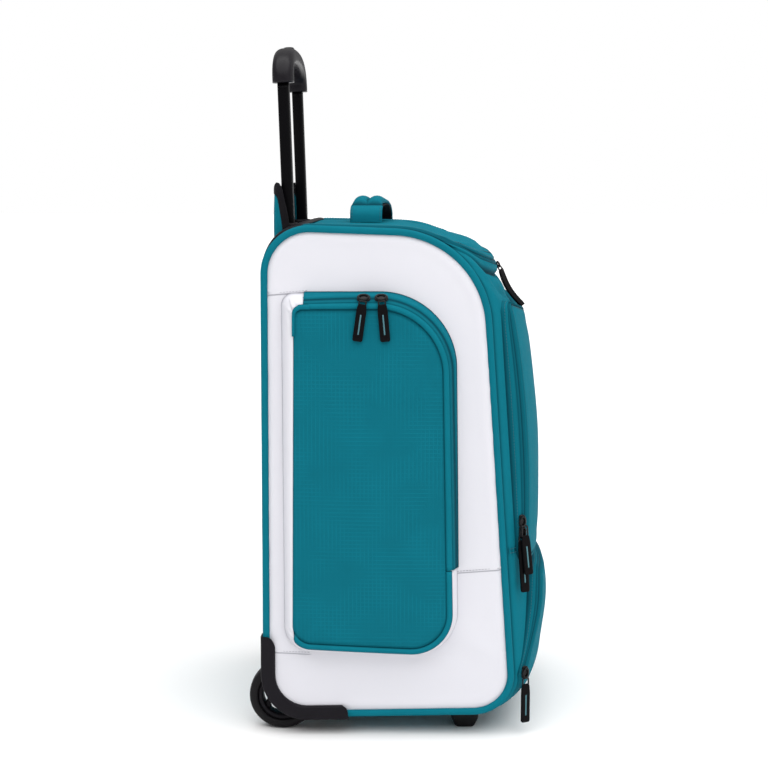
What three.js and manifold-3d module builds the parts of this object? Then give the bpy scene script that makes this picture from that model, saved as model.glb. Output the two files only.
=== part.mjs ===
// A wheeled softball equipment bag: an upright cloth body on two wheels and two feet, with a slide-up handle.
// Millimetres. +X is the bag's front, +Y its left side and +Z up, with the floor at Z = 0.

import * as THREE from 'three';
import { mergeVertices } from 'three/addons/utils/BufferGeometryUtils.js';
import Module from 'manifold-3d';

const wasm = await Module();
wasm.setup();

// Driving dimensions of the body
const GAP = 0.3; // clearance between neighbouring pieces
const CLOTH = 2.5; // body walls
const POCKET_CLOTH = 2; // pocket walls
const PIPING_RADIUS = 4;
const PIPING_SIDES = 5;
const SIDE_Y = 160; // middle of the piping, at the edge of a side panel
const GUSSET_Y = SIDE_Y - PIPING_RADIUS - GAP; // half width of the walls between the side panels
const SEAT_DEPTH = 40; // depth of a side panel's copy that trims its pocket
const SIDE_BULGE = 7; // how far a side panel swells in its middle
const FAR = 400; // reach of a cutting block past the bag

// The body seen from the side, a row for each corner: where its straight edges meet, and its radius.
// edge rows are at the piping, and middle rows half way across the bag, where the front swells.
const EDGE_CORNERS = [
  { corner: 'back bottom', u: -162, v: 19, r: 52 },
  { corner: 'front bottom', u: 136, v: 27, r: 48 },
  { corner: 'front top', u: 94, v: 592, r: 107 },
  { corner: 'back top', u: -160, v: 598, r: 56 },
];
const MIDDLE_CORNERS = [
  { corner: 'back bottom', u: -162, v: 19, r: 52 },
  { corner: 'front bottom', u: 171.5, v: 25, r: 58 },
  { corner: 'front top', u: 129.5, v: 602, r: 125 },
  { corner: 'back top', u: -160, v: 598, r: 56 },
];
const FRONT_BOTTOM = 1;
const FRONT_TOP = 2;
const CROWN_POWER = 2.5; // the swell across the bag is (1 - t^CROWN_POWER)^CROWN_ROOT
const CROWN_ROOT = 0.615;
const CROSS_STATIONS = [0, 0.35, 0.62, 0.82, 0.94, 1]; // where the walls are sectioned across Y
const ARC_STEPS = 5;
const LEAST_RADIUS = 0.5;

// Where the walls meet
const HOUSING_BOTTOM_Z = 546;
const HOUSING_FRONT_X = -80;
const HOUSING_PROUD = 3.5;
const BASE_BACK_X = -62;
const BASE_FRONT_Z = 40;
const FRONT_PANEL_TOP_X = 62;
const LID_PROUD = 2.5;
const LID_INNER = 1;
const LID_FRONT_X = 123; // tip of the lid's rounded lip, seen from above
const LID_TONGUE_X = 38; // where its sides start to round
const LID_TONGUE_POWER = 2.4;
const LID_TONGUE_STEPS = 9;
const LID_CUT_Z = 450; // the lid and its zip are cut from the ring above here
const ZIP_WIDTH = 5.2;
const ZIP_PROUD = 1.4;

// Right side pocket, seen from the side: its foot on the side panel and the edge of its flat front
const SIDE_POCKET_FOOT = [
  { corner: 'back bottom', u: -136, v: 102, r: 30, steps: 2 },
  { corner: 'front bottom', u: 69, v: 96, r: 52, steps: 4 },
  { corner: 'front top', u: 61, v: 523, r: 86, steps: 4 },
  { corner: 'back top', u: -124, v: 523, r: 14, steps: 2 },
];
const SIDE_POCKET_FACE = [
  { corner: 'back bottom', u: -125, v: 113, r: 22, steps: 2 },
  { corner: 'front bottom', u: 57, v: 106, r: 42, steps: 4 },
  { corner: 'front top', u: 47, v: 505, r: 76, steps: 4 },
  { corner: 'back top', u: -121, v: 504, r: 10, steps: 2 },
];
// Rows up the pocket: toFace runs from foot (0) to face edge (1), and scale shrinks the face to its middle.
const SIDE_POCKET_ROWS = [
  { toFace: 0, scale: 1, height: -3 },
  { toFace: 0.2, scale: 1, height: 8 },
  { toFace: 0.6, scale: 1, height: 13.5 },
  { toFace: 1, scale: 1, height: 16 },
  { toFace: 1, scale: 0, height: 20 },
];
const ZIP_SEAT = 0.5; // clearance under a pocket's zip
const SIDE_ZIP_BAND = { outer: 12.6, inner: 12.6 - ZIP_WIDTH }; // distance outside the face's edge
const SIDE_ZIP_START_X = -118; // the zip and its teal strip start here at the top
const SIDE_ZIP_END_Z = 202; // and stop here on the front edge

// Front pockets, seen from the front: half widths and heights of the foot on the front panel
const FRONT_POCKETS = [
  {
    name: 'upper', halfWidth: 143, bottom: 197, top: 499, radius: 26, inset: 9, zipEndZ: 222,
    heights: [{ at: 0, rise: 5 }, { at: 0.2, rise: 12.5 }, { at: 0.5, rise: 17 }, { at: 0.8, rise: 14.5 },
      { at: 1, rise: 6 }],
  },
  {
    name: 'lower', halfWidth: 151, bottom: 38, top: 190, radius: 38, inset: 9, zipEndZ: 52,
    heights: [{ at: 0, rise: 6 }, { at: 0.3, rise: 10 }, { at: 0.55, rise: 17 }, { at: 0.85, rise: 19.4 },
      { at: 1, rise: 13 }],
  },
];
const FRONT_POCKET_ROWS = [
  { toFace: 0, scale: 1, rise: 0, lift: -3 },
  { toFace: 0.25, scale: 1, rise: 0.6, lift: 0 },
  { toFace: 1, scale: 1, rise: 0.94, lift: 0 },
  { toFace: 1, scale: 0.72, rise: 1, lift: 0 },
  { toFace: 1, scale: 0, rise: 1, lift: 0 },
];
const FRONT_ZIP_BAND = { outer: 7, inner: 7 - ZIP_WIDTH };

// Slide-up handle: it leans back, and LEAN_ORIGIN is on its axis at the top of the bag
const HANDLE_LEAN = THREE.MathUtils.degToRad(1.83);
const LEAN_ORIGIN = { x: -133.7, z: 597.7 };
const TUBE_Y = 91;
const TUBE_DEPTH = 13.5;
const TUBE_WIDTH = 20;
const TUBE_CORNER = 4;
const TUBE_CLEARANCE = 0.5;
const TUBE_DOWN = 132; // tube left inside the bag with the handle up
const GUIDE_WALL = 1.5;
const BORE_REACH = [-120, 60]; // the tubes' holes in the housing, below and above LEAN_ORIGIN
const GRIP_BOTTOM = 162;
const GRIP_HALF = 105;
const GRIP_LEG = 28;
const GRIP_DEPTH = 25;
const GRIP_BAR_BOTTOM = 184;
const GRIP_BAR_TOP = 204;
const GRIP_CREST = 7;
const GRIP_ROUND = 5;
const GRIP_FILLET = 8; // inside corners
const GRIP_SHOULDER = { width: 26, drop: 26 }; // outside corners
const BUTTON = {
  length: 40, width: 12, bottom: 203.5, top: 210.5, slope: [5, 2], slotBottom: 199.8, clearance: 0.4,
};

// Hood behind the handle, and its bound edge
const HOOD_WALL = 2;
const HOOD_BACK_X = -151.5;
const HOOD_HALF = 116;
const HOOD_FRONT_X = -128;
const HOOD_TOP_Z = 645;
const HOOD_CORNER = 12;
const HOOD_EDGE = { topX: -147, bottomX: -132, bottomZ: 586 }; // its sloping front edge
const HOOD_BINDING = 8; // width of the binding along X

// Carry handle on the lid
const CARRY_X = [-62, -27];
const CARRY_FOOT_Y = 86;
const CARRY_TOP_Y = 56;
const CARRY_TOP_Z = 629;
const CARRY_THICKNESS = 4;
const CARRY_LINING = 2;
const CARRY_SINK = 50; // its ends run on this far below its top, and are cut off at the lid

// Running gear
const WHEEL = { x: -140.6, y: 134, radius: 40, width: 24 };
const TYRE_INNER = 29.5;
// Section of the tyre, a row for each corner: y is a share of half the width
const TYRE_PROFILE = [
  { radius: TYRE_INNER, y: -1 }, { radius: 37, y: -1 }, { radius: WHEEL.radius, y: -0.6 },
  { radius: WHEEL.radius, y: 0.6 }, { radius: 37, y: 1 }, { radius: TYRE_INNER, y: 1 },
];
const HUB_RIM_INNER = 24;
const HUB_WIDTH = 18;
const BOSS_RADIUS = 10;
const AXLE_RADIUS = 4;
const BORE_RADIUS = 4.4;
const SPOKES = 5;
const SPOKE_WIDTH = 5;
const SPOKE_THICKNESS = 8;
const SPOKE_TURN = 0.3;
const BOSS_HALF = 14;
const WELL = { radius: 43.5, wall: 3.5, outerY: 148.7, innerY: 119.3 };
const HOUSING_INNER_Y = 113;
const GUARD = { outset: 2.2, inset: 14.5, faceY: 167, thickness: 2.4, lip: 1.8, topZ: 119, frontX: -62 };
const FOOT = { topX: [59, 92], bottomX: [64, 89], y: 120, width: 30, shoulderZ: 11, height: 32 };

// Zip sliders and pull tabs
const SLIDER = { length: 12, width: 8.5, height: 4, corner: 3 };
const TAB = { width: 11, thickness: 3.4, neck: 6, wire: 1.4, shoulder: 3, eyeSink: 1 };
// at is the middle of a slider's base, right runs along its zip and out points away from the bag
const SLIDERS = [
  { name: 'side_back', pair: true, at: [-42, -178.3, 515.3], right: [1, 0, 0], out: [0, -0.81, 0.585] },
  { name: 'side_front', pair: true, at: [-22, -178.4, 515.4], right: [1, 0, 0], out: [0, -0.81, 0.585] },
  { name: 'upper_top', at: [144, -140.2, 262], right: [0, 0, 1], out: [0.48, -0.88, 0] },
  { name: 'upper_low', at: [144, -140.2, 248], right: [0, 0, 1], out: [0.48, -0.88, 0] },
  { name: 'lower', at: [146.7, -147.4, 60], right: [0, 0, 1], out: [0.48, -0.88, 0] },
  { name: 'lid', at: [118.15, -12, 546.5], right: [0, 1, 0], out: [0.85, 0, 0.53] },
];
// at is the top of a pull's wire bail, right runs across the tab and out points away from the bag
const PULLS = [
  { name: 'side_back', pair: true, bail: 9, length: 36, at: [-43, -186, 514],
    right: [0.97, 0, -0.24], out: [0, -1, 0] },
  { name: 'side_front', pair: true, bail: 9, length: 36, at: [-21, -186, 514],
    right: [0.99, 0, 0.13], out: [0, -1, 0] },
  { name: 'upper_top', bail: 22, length: 38, at: [147, -145.7, 256],
    right: [0.88, 0.48, 0.06], out: [0.48, -0.87, 0.1] },
  { name: 'upper_low', bail: 14, length: 56, at: [145.7, -143.3, 241.6],
    right: [0.88, 0.48, 0], out: [0.48, -0.87, 0.1] },
  { name: 'lower', bail: 9, length: 38, at: [147.9, -149.6, 53.6],
    right: [0.88, 0.48, 0], out: [0.48, -0.88, 0] },
  { name: 'lid', bail: 9, length: 38, at: [124.4, -12, 544.7],
    right: [0, 1, 0], out: [0.9, 0, 0.44] },
];

function cloth(colour) {
  return new THREE.MeshStandardMaterial({ color: colour, roughness: 0.85, metalness: 0 });
}
const tealCloth = cloth(0x19808f);
const whiteCloth = cloth(0xeceaf0);
const blackCloth = cloth(0x1d1b1f);
const tealZip = cloth(0x116273);
const blackPlastic = new THREE.MeshStandardMaterial({ color: 0x232026, roughness: 0.5, metalness: 0 });
const blackRubber = new THREE.MeshStandardMaterial({ color: 0x18161a, roughness: 0.75, metalness: 0 });
const blackMetal = new THREE.MeshStandardMaterial({ color: 0x1a1a1c, roughness: 0.35, metalness: 0.6 });

const bag = new THREE.Group();
const handle = new THREE.Group();
handle.position.set(LEAN_ORIGIN.x, 0, LEAN_ORIGIN.z);
handle.rotation.y = -HANDLE_LEAN;
bag.add(handle);

function addPart(name, geometry, material, parent = bag) {
  const mesh = new THREE.Mesh(geometry, material);
  mesh.name = name;
  parent.add(mesh);
}

// Turns a geometry into one closed skin: shared vertices, no empty triangles, faces pointing out.
function closeUp(source) {
  const bare = source.clone();
  bare.deleteAttribute('normal');
  bare.deleteAttribute('uv');
  const merged = mergeVertices(bare, 1e-4);
  const position = merged.getAttribute('position');
  const corner = [new THREE.Vector3(), new THREE.Vector3(), new THREE.Vector3()];
  const kept = [];
  let volume = 0;
  for (let t = 0; t < merged.index.count; t += 3) {
    const ids = [merged.index.getX(t), merged.index.getX(t + 1), merged.index.getX(t + 2)];
    if (new Set(ids).size < 3) continue;
    ids.forEach((id, k) => corner[k].fromBufferAttribute(position, id));
    volume += corner[0].dot(corner[1].clone().cross(corner[2]));
    kept.push(ids);
  }
  merged.setIndex(kept.flatMap((ids) => (volume < 0 ? [ids[0], ids[2], ids[1]] : ids)));
  return merged;
}

// A skin over rows of points, each row a closed loop. The last row joins the first where wrap is true.
function skin(rows, wrap) {
  const size = rows[0].length;
  const index = [];
  const bands = wrap ? rows.length : rows.length - 1;
  for (let r = 0; r < bands; r += 1) {
    const next = (r + 1) % rows.length;
    for (let k = 0; k < size; k += 1) {
      const along = (k + 1) % size;
      const [a, b, c, d] = [r * size + k, r * size + along, next * size + along, next * size + k];
      index.push(a, b, c, a, c, d);
    }
  }
  const geometry = new THREE.BufferGeometry();
  const flat = rows.flatMap((row) => row.flatMap((p) => [p.x, p.y, p.z]));
  geometry.setAttribute('position', new THREE.Float32BufferAttribute(flat, 3));
  geometry.setIndex(index);
  return closeUp(geometry);
}

function toSolid(geometry) {
  const closed = closeUp(geometry);
  const mesh = new wasm.Mesh({
    numProp: 3,
    vertProperties: new Float32Array(closed.getAttribute('position').array),
    triVerts: new Uint32Array(closed.index.array),
  });
  return new wasm.Manifold(mesh);
}

function toGeometry(solid) {
  const mesh = solid.getMesh();
  const geometry = new THREE.BufferGeometry();
  geometry.setAttribute('position', new THREE.Float32BufferAttribute(mesh.vertProperties, 3));
  geometry.setIndex(Array.from(mesh.triVerts));
  return geometry;
}

function mirrored(geometry) {
  const copy = geometry.clone();
  copy.scale(1, -1, 1);
  return closeUp(copy);
}

function addPair(name, rightGeometry, material) {
  addPart(`${name}_right`, rightGeometry, material);
  addPart(`${name}_left`, mirrored(rightGeometry), material);
}

// Extrusions of a flat shape along each axis, from one place to another
function extrudeAlong(shape, from, to, axes) {
  const options = { depth: to - from, bevelEnabled: false, curveSegments: 6 };
  const geometry = new THREE.ExtrudeGeometry(shape, options);
  geometry.translate(0, 0, from);
  geometry.applyMatrix4(new THREE.Matrix4().makeBasis(...axes));
  return toSolid(geometry);
}
const X_AXIS = new THREE.Vector3(1, 0, 0);
const Y_AXIS = new THREE.Vector3(0, 1, 0);
const Z_AXIS = new THREE.Vector3(0, 0, 1);
const alongX = (shape, from, to) => extrudeAlong(shape, from, to, [Y_AXIS, Z_AXIS, X_AXIS]);
const alongY = (shape, from, to) => {
  const axes = [X_AXIS, Z_AXIS, Y_AXIS.clone().negate()];
  return extrudeAlong(shape, -to, -from, axes);
};
const alongZ = (shape, from, to) => extrudeAlong(shape, from, to, [X_AXIS, Y_AXIS, Z_AXIS]);

function block(x, y, z) {
  const geometry = new THREE.BoxGeometry(x[1] - x[0], y[1] - y[0], z[1] - z[0]);
  geometry.translate((x[0] + x[1]) / 2, (y[0] + y[1]) / 2, (z[0] + z[1]) / 2);
  return toSolid(geometry);
}

function discAlongY(x, z, radius, y, sides) {
  const geometry = new THREE.CylinderGeometry(radius, radius, y[1] - y[0], sides);
  geometry.translate(x, (y[0] + y[1]) / 2, z);
  return toSolid(geometry);
}

// Corner tables: moved in by a distance, blended, and turned into the points of a rounded outline
function insetCorners(corners, distance) {
  return corners.map((here, i) => {
    const before = corners[(i + corners.length - 1) % corners.length];
    const after = corners[(i + 1) % corners.length];
    const inward = (a, b) => new THREE.Vector2(a.v - b.v, b.u - a.u).normalize();
    const n1 = inward(before, here);
    const n2 = inward(here, after);
    const shift = n1.clone().add(n2).multiplyScalar(distance / (1 + n1.dot(n2)));
    const r = Math.max(here.r - distance, LEAST_RADIUS);
    return { ...here, u: here.u + shift.x, v: here.v + shift.y, r };
  });
}

function blendCorners(from, to, t) {
  const mix = THREE.MathUtils.lerp;
  return from.map((a, i) => ({
    ...a, u: mix(a.u, to[i].u, t), v: mix(a.v, to[i].v, t), r: mix(a.r, to[i].r, t),
  }));
}

// The arc at a corner: its centre and radius, the angle where it starts and the angle that it turns
function cornerArc(corners, i) {
  const at = (j) => {
    const row = corners[(j + corners.length) % corners.length];
    return new THREE.Vector2(row.u, row.v);
  };
  const back = at(i - 1).sub(at(i)).normalize();
  const ahead = at(i + 1).sub(at(i)).normalize();
  const half = Math.acos(back.dot(ahead)) / 2;
  const radius = corners[i].r;
  const centre = back.clone().add(ahead).setLength(radius / Math.sin(half)).add(at(i));
  const start = back.clone().setLength(radius / Math.tan(half)).add(at(i));
  return { centre, radius, first: start.sub(centre).angle(), sweep: Math.PI - 2 * half };
}

function arcPoint(arc, t) {
  const angle = arc.first + arc.sweep * t;
  return new THREE.Vector2(Math.cos(angle), Math.sin(angle)).multiplyScalar(arc.radius).add(arc.centre);
}

function outlinePoints(corners, runSteps = 1, arcSteps = ARC_STEPS) {
  const arcs = corners.map((_, i) => cornerArc(corners, i));
  return arcs.flatMap((arc, i) => {
    const points = [];
    const steps = corners[i].steps ?? arcSteps;
    for (let k = 0; k <= steps; k += 1) points.push(arcPoint(arc, k / steps));
    const from = points[steps];
    const to = arcPoint(arcs[(i + 1) % arcs.length], 0);
    for (let k = 1; k < runSteps; k += 1) points.push(from.clone().lerp(to, k / runSteps));
    return points;
  });
}

function middleOf(points) {
  const sum = points.reduce((total, p) => total.add(p), points[0].clone().multiplyScalar(0));
  return sum.divideScalar(points.length);
}

// A flat shape inside an outline, with a second outline cut out of it where one is given
function outlineShape(corners, holeCorners) {
  const shape = new THREE.Shape(outlinePoints(corners));
  if (holeCorners) shape.holes.push(new THREE.Path(outlinePoints(holeCorners)));
  return shape;
}

function polygonShape(points) {
  return new THREE.Shape(points.map(([u, v]) => new THREE.Vector2(u, v)));
}

// The body's corners at a place across the bag, and the X of its front at a height there
function bodyCorners(y) {
  const t = Math.min(Math.abs(y) / GUSSET_Y, 1);
  return blendCorners(EDGE_CORNERS, MIDDLE_CORNERS, (1 - t ** CROWN_POWER) ** CROWN_ROOT);
}

function frontFace(y, z) {
  const corners = bodyCorners(y);
  const bottom = cornerArc(corners, FRONT_BOTTOM);
  const top = cornerArc(corners, FRONT_TOP);
  const low = arcPoint(bottom, 1);
  const high = arcPoint(top, 0);
  const onArc = (arc) => arc.centre.x + Math.sqrt(Math.max(arc.radius ** 2 - (z - arc.centre.y) ** 2, 0));
  if (z < low.y) return onArc(bottom);
  if (z > high.y) return onArc(top);
  return THREE.MathUtils.mapLinear(z, low.y, high.y, low.x, high.x);
}

const rightStations = CROSS_STATIONS.slice(1).reverse().map((s) => -s);
const crossY = [...rightStations, ...CROSS_STATIONS].map((s) => s * GUSSET_Y);

function bodyLoop(y, inset) {
  return outlinePoints(insetCorners(bodyCorners(y), inset)).map((p) => new THREE.Vector3(p.x, y, p.y));
}

// A wall all round the body between two distances in from its outside
function wallRing(outer, inner) {
  const outside = crossY.map((y) => bodyLoop(y, outer));
  const inside = crossY.map((y) => bodyLoop(y, inner)).reverse();
  return toSolid(skin([...outside, ...inside], true));
}

// The whole body as a filled solid, used to cut what sits on it or inside it
function bodyFill(inset) {
  const loops = crossY.map((y) => bodyLoop(y, inset));
  const cap = (loop) => loop.map(() => middleOf(loop));
  return toSolid(skin([cap(loops[0]), ...loops, cap(loops[loops.length - 1])], false));
}

// Side panels: a dome inside the piping
const PIPING_DEPTH = PIPING_RADIUS * (1 + Math.cos(Math.PI / PIPING_SIDES)); // to its inner flat
const PANEL_RIM = insetCorners(EDGE_CORNERS, PIPING_DEPTH + GAP);
const PANEL_MIDDLE = { x: -12, z: 308 };
const PANEL_HALF = { x: 142, z: 284 };
const PANEL_SCALES = [0, 0.5, 0.82, 1];

function panelFace(x, z) {
  const u = THREE.MathUtils.clamp((x - PANEL_MIDDLE.x) / PANEL_HALF.x, -1, 1);
  const v = THREE.MathUtils.clamp((z - PANEL_MIDDLE.z) / PANEL_HALF.z, -1, 1);
  return SIDE_Y + CLOTH / 2 + SIDE_BULGE * (1 - u * u) * (1 - v * v);
}

function sidePanel(lift, depth) {
  const rim = outlinePoints(PANEL_RIM, 2);
  const middle = middleOf(rim);
  const row = (scale, rise) => rim.map((p) => {
    const q = middle.clone().lerp(p, scale);
    return new THREE.Vector3(q.x, -(panelFace(q.x, q.y) + rise), q.y);
  });
  const outside = PANEL_SCALES.map((scale) => row(scale, lift));
  const inside = PANEL_SCALES.map((scale) => row(scale, -depth)).reverse();
  return toSolid(skin([...outside, ...inside], false));
}

function piping() {
  const rows = Array.from({ length: PIPING_SIDES }, (_, k) => {
    const angle = (2 * Math.PI * k) / PIPING_SIDES;
    const inset = PIPING_RADIUS * (1 - Math.cos(angle));
    const y = -SIDE_Y + PIPING_RADIUS * Math.sin(angle);
    return outlinePoints(insetCorners(EDGE_CORNERS, inset)).map((p) => new THREE.Vector3(p.x, y, p.y));
  });
  return skin(rows, true);
}

addPair('side_panel', toGeometry(sidePanel(0, CLOTH)), whiteCloth);
addPair('piping', piping(), tealCloth);

// Lid seen from above, moved in by a distance: straight sides that round into a tongue at the front
function lidTongue(inset) {
  const halfWidth = GUSSET_Y - GAP - inset;
  const reach = LID_FRONT_X - LID_TONGUE_X - inset;
  const side = Array.from({ length: LID_TONGUE_STEPS + 1 }, (_, k) => {
    const angle = (Math.PI / 2) * (k / LID_TONGUE_STEPS);
    const round = (value) => value ** (2 / LID_TONGUE_POWER);
    return [LID_TONGUE_X + reach * round(Math.sin(angle)), -halfWidth * round(Math.max(Math.cos(angle), 0))];
  });
  const other = side.slice(0, -1).reverse().map(([x, y]) => [x, -y]);
  const back = [[-FAR, halfWidth], [-FAR, -halfWidth]];
  return alongZ(polygonShape([...side, ...other, ...back]), LID_CUT_Z, LID_CUT_Z + FAR);
}

// Walls cut from rings round the body
const wall = wallRing(0, CLOTH);
function straightRing(outer, inner) {
  const hole = inner === undefined ? undefined : insetCorners(EDGE_CORNERS, inner);
  return alongY(outlineShape(insetCorners(EDGE_CORNERS, outer), hole), -GUSSET_Y, GUSSET_Y);
}
const across = [-FAR, FAR];
const besideWheels = [HOUSING_INNER_Y - GAP, FAR];
const wheelCorner = { x: [-FAR, BASE_BACK_X], z: [-FAR, GUARD.topZ + GAP] };
const backPanel = straightRing(0, CLOTH)
  .intersect(block([-FAR, BASE_BACK_X - GAP], across, [-FAR, HOUSING_BOTTOM_Z - GAP]))
  .subtract(block(wheelCorner.x, besideWheels, wheelCorner.z))
  .subtract(block(wheelCorner.x, besideWheels.map((y) => -y).reverse(), wheelCorner.z));
const basePanel = wall.intersect(block([BASE_BACK_X, FAR], across, [-FAR, BASE_FRONT_Z - GAP]));
const frontPanel = wall
  .intersect(block([FRONT_PANEL_TOP_X, FAR], across, [BASE_FRONT_Z, FAR * 2]))
  .subtract(lidTongue(0));
addPart('back_panel', toGeometry(backPanel), tealCloth);
addPart('base_panel', toGeometry(basePanel), tealCloth);
addPart('front_panel', toGeometry(frontPanel), tealCloth);

const aboveHousing = block([HOUSING_FRONT_X + GAP, FAR], across, [LID_CUT_Z, FAR * 2]);
const lid = wallRing(-LID_PROUD, LID_INNER).intersect(aboveHousing).intersect(lidTongue(2 * GAP + ZIP_WIDTH));
const lidZip = wallRing(-ZIP_PROUD, LID_INNER)
  .intersect(aboveHousing)
  .intersect(lidTongue(GAP))
  .subtract(lidTongue(GAP + ZIP_WIDTH));
addPart('lid', toGeometry(lid), tealCloth);
addPart('lid_zip', toGeometry(lidZip), tealZip);

// Slide-up handle, worked out in its own leaning frame
const lean = new THREE.Matrix4().makeRotationY(-HANDLE_LEAN).setPosition(LEAN_ORIGIN.x, 0, LEAN_ORIGIN.z);

function tubeSection(grow) {
  const x = TUBE_DEPTH / 2 + grow;
  const y = TUBE_WIDTH / 2 + grow;
  const r = TUBE_CORNER + grow;
  return [{ u: -x, v: -y, r }, { u: x, v: -y, r }, { u: x, v: y, r }, { u: -x, v: y, r }];
}

function tubeLength(section, from, to, side) {
  const geometry = new THREE.ExtrudeGeometry(section, { depth: to - from, bevelEnabled: false });
  geometry.translate(0, side * TUBE_Y, from);
  return geometry;
}

const tubeShape = new THREE.Shape(outlinePoints(tubeSection(0), 1, 2));
const boreShape = new THREE.Shape(outlinePoints(tubeSection(TUBE_CLEARANCE), 1, 2));
const guideShape = new THREE.Shape(outlinePoints(tubeSection(TUBE_CLEARANCE + GUIDE_WALL), 1, 2));
guideShape.holes.push(new THREE.Path(outlinePoints(tubeSection(TUBE_CLEARANCE), 1, 2)));

let housing = straightRing(-HOUSING_PROUD, HOUSING_PROUD)
  .intersect(block([-FAR, HOUSING_FRONT_X], across, [HOUSING_BOTTOM_Z, FAR * 2]));
const insideHousing = straightRing(HOUSING_PROUD + GAP);
[['right', -1], ['left', 1]].forEach(([name, side]) => {
  housing = housing.subtract(toSolid(tubeLength(boreShape, ...BORE_REACH, side).applyMatrix4(lean)));
  const guide = toSolid(tubeLength(guideShape, -FAR * 2, BORE_REACH[1], side).applyMatrix4(lean));
  addPart(`tube_guide_${name}`, toGeometry(guide.intersect(insideHousing)), blackMetal);
  const tube = closeUp(tubeLength(tubeShape, -TUBE_DOWN, GRIP_BOTTOM - GAP, side));
  addPart(`handle_tube_${name}`, tube, blackMetal, handle);
});
addPart('handle_housing', toGeometry(housing), blackPlastic);

function gripSolid() {
  const legInner = GRIP_HALF - GRIP_LEG;
  const shape = new THREE.Shape();
  shape.moveTo(-GRIP_HALF, GRIP_BOTTOM);
  shape.lineTo(-legInner, GRIP_BOTTOM);
  shape.lineTo(-legInner, GRIP_BAR_BOTTOM - GRIP_FILLET);
  shape.quadraticCurveTo(-legInner, GRIP_BAR_BOTTOM, -legInner + GRIP_FILLET, GRIP_BAR_BOTTOM);
  shape.lineTo(legInner - GRIP_FILLET, GRIP_BAR_BOTTOM);
  shape.quadraticCurveTo(legInner, GRIP_BAR_BOTTOM, legInner, GRIP_BAR_BOTTOM - GRIP_FILLET);
  shape.lineTo(legInner, GRIP_BOTTOM);
  shape.lineTo(GRIP_HALF, GRIP_BOTTOM);
  shape.lineTo(GRIP_HALF, GRIP_BAR_TOP - GRIP_SHOULDER.drop);
  shape.quadraticCurveTo(GRIP_HALF, GRIP_BAR_TOP, GRIP_HALF - GRIP_SHOULDER.width, GRIP_BAR_TOP);
  shape.quadraticCurveTo(0, GRIP_BAR_TOP + GRIP_CREST, GRIP_SHOULDER.width - GRIP_HALF, GRIP_BAR_TOP);
  shape.quadraticCurveTo(-GRIP_HALF, GRIP_BAR_TOP, -GRIP_HALF, GRIP_BAR_TOP - GRIP_SHOULDER.drop);
  const geometry = new THREE.ExtrudeGeometry(shape, {
    depth: GRIP_DEPTH - 2 * GRIP_ROUND,
    bevelThickness: GRIP_ROUND,
    bevelSize: GRIP_ROUND,
    bevelOffset: -GRIP_ROUND,
    bevelSegments: 2,
    curveSegments: 4,
  });
  geometry.translate(0, 0, -GRIP_DEPTH / 2 + GRIP_ROUND);
  geometry.applyMatrix4(new THREE.Matrix4().makeBasis(Y_AXIS, Z_AXIS, X_AXIS));
  const x = BUTTON.width / 2 + BUTTON.clearance;
  const y = BUTTON.length / 2 + BUTTON.clearance;
  return toSolid(geometry).subtract(block([-x, x], [-y, y], [BUTTON.slotBottom, FAR]));
}

function buttonSolid() {
  const x = BUTTON.width / 2;
  const y = BUTTON.length / 2;
  const { bottom, top, slope } = BUTTON;
  const shoulder = top - slope[1];
  const side = [
    [-y, bottom], [y, bottom], [y, shoulder], [y - slope[0], top], [slope[0] - y, top], [-y, shoulder],
  ];
  return alongX(polygonShape(side), -x, x);
}

addPart('grip', toGeometry(gripSolid()), blackPlastic, handle);
addPart('grip_button', toGeometry(buttonSolid()), blackPlastic, handle);

// Hood: a cloth wall round the back of the handle, cut off along a sloping edge that is bound in black
const hoodPlan = [
  { u: HOOD_BACK_X, v: -HOOD_HALF, r: HOOD_CORNER },
  { u: HOOD_FRONT_X + HOOD_HALF, v: -HOOD_HALF, r: 1 },
  { u: HOOD_FRONT_X + HOOD_HALF, v: HOOD_HALF, r: 1 },
  { u: HOOD_BACK_X, v: HOOD_HALF, r: HOOD_CORNER },
];
const hoodRing = outlineShape(hoodPlan, insetCorners(hoodPlan, HOOD_WALL));
const hoodWall = alongZ(hoodRing, HOUSING_BOTTOM_Z, HOOD_TOP_Z)
  .subtract(straightRing(-HOUSING_PROUD - GAP));

function behindHoodEdge(shift) {
  const slope = (HOOD_EDGE.bottomX - HOOD_EDGE.topX) / (HOOD_TOP_Z - HOOD_EDGE.bottomZ);
  const edgeX = (z) => HOOD_EDGE.topX + slope * (HOOD_TOP_Z - z) + shift;
  const low = HOUSING_BOTTOM_Z - 1;
  const high = HOOD_TOP_Z + 1;
  return alongY(polygonShape([[-FAR, low], [edgeX(low), low], [edgeX(high), high], [-FAR, high]]), -FAR, FAR);
}

const hoodBinding = hoodWall.intersect(behindHoodEdge(0)).subtract(behindHoodEdge(-HOOD_BINDING));
addPart('handle_hood', toGeometry(hoodWall.intersect(behindHoodEdge(-HOOD_BINDING - GAP))), tealCloth);
addPart('hood_binding', toGeometry(hoodBinding), blackCloth);

// Carry handle: an arched strap across the lid with a thinner lining under it
function archShape(half, top, thickness) {
  const foot = CARRY_TOP_Z - CARRY_SINK;
  const bend = CARRY_FOOT_Y - CARRY_TOP_Y;
  const shape = new THREE.Shape();
  shape.moveTo(-half, foot);
  shape.lineTo(-half + thickness, foot);
  shape.lineTo(-half + thickness, top - bend);
  shape.quadraticCurveTo(-half + thickness, top - thickness, -half + bend, top - thickness);
  shape.lineTo(half - bend, top - thickness);
  shape.quadraticCurveTo(half - thickness, top - thickness, half - thickness, top - bend);
  shape.lineTo(half - thickness, foot);
  shape.lineTo(half, foot);
  shape.lineTo(half, top - bend);
  shape.quadraticCurveTo(half, top, half - bend, top);
  shape.lineTo(-half + bend, top);
  shape.quadraticCurveTo(-half, top, -half, top - bend);
  return shape;
}

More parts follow.
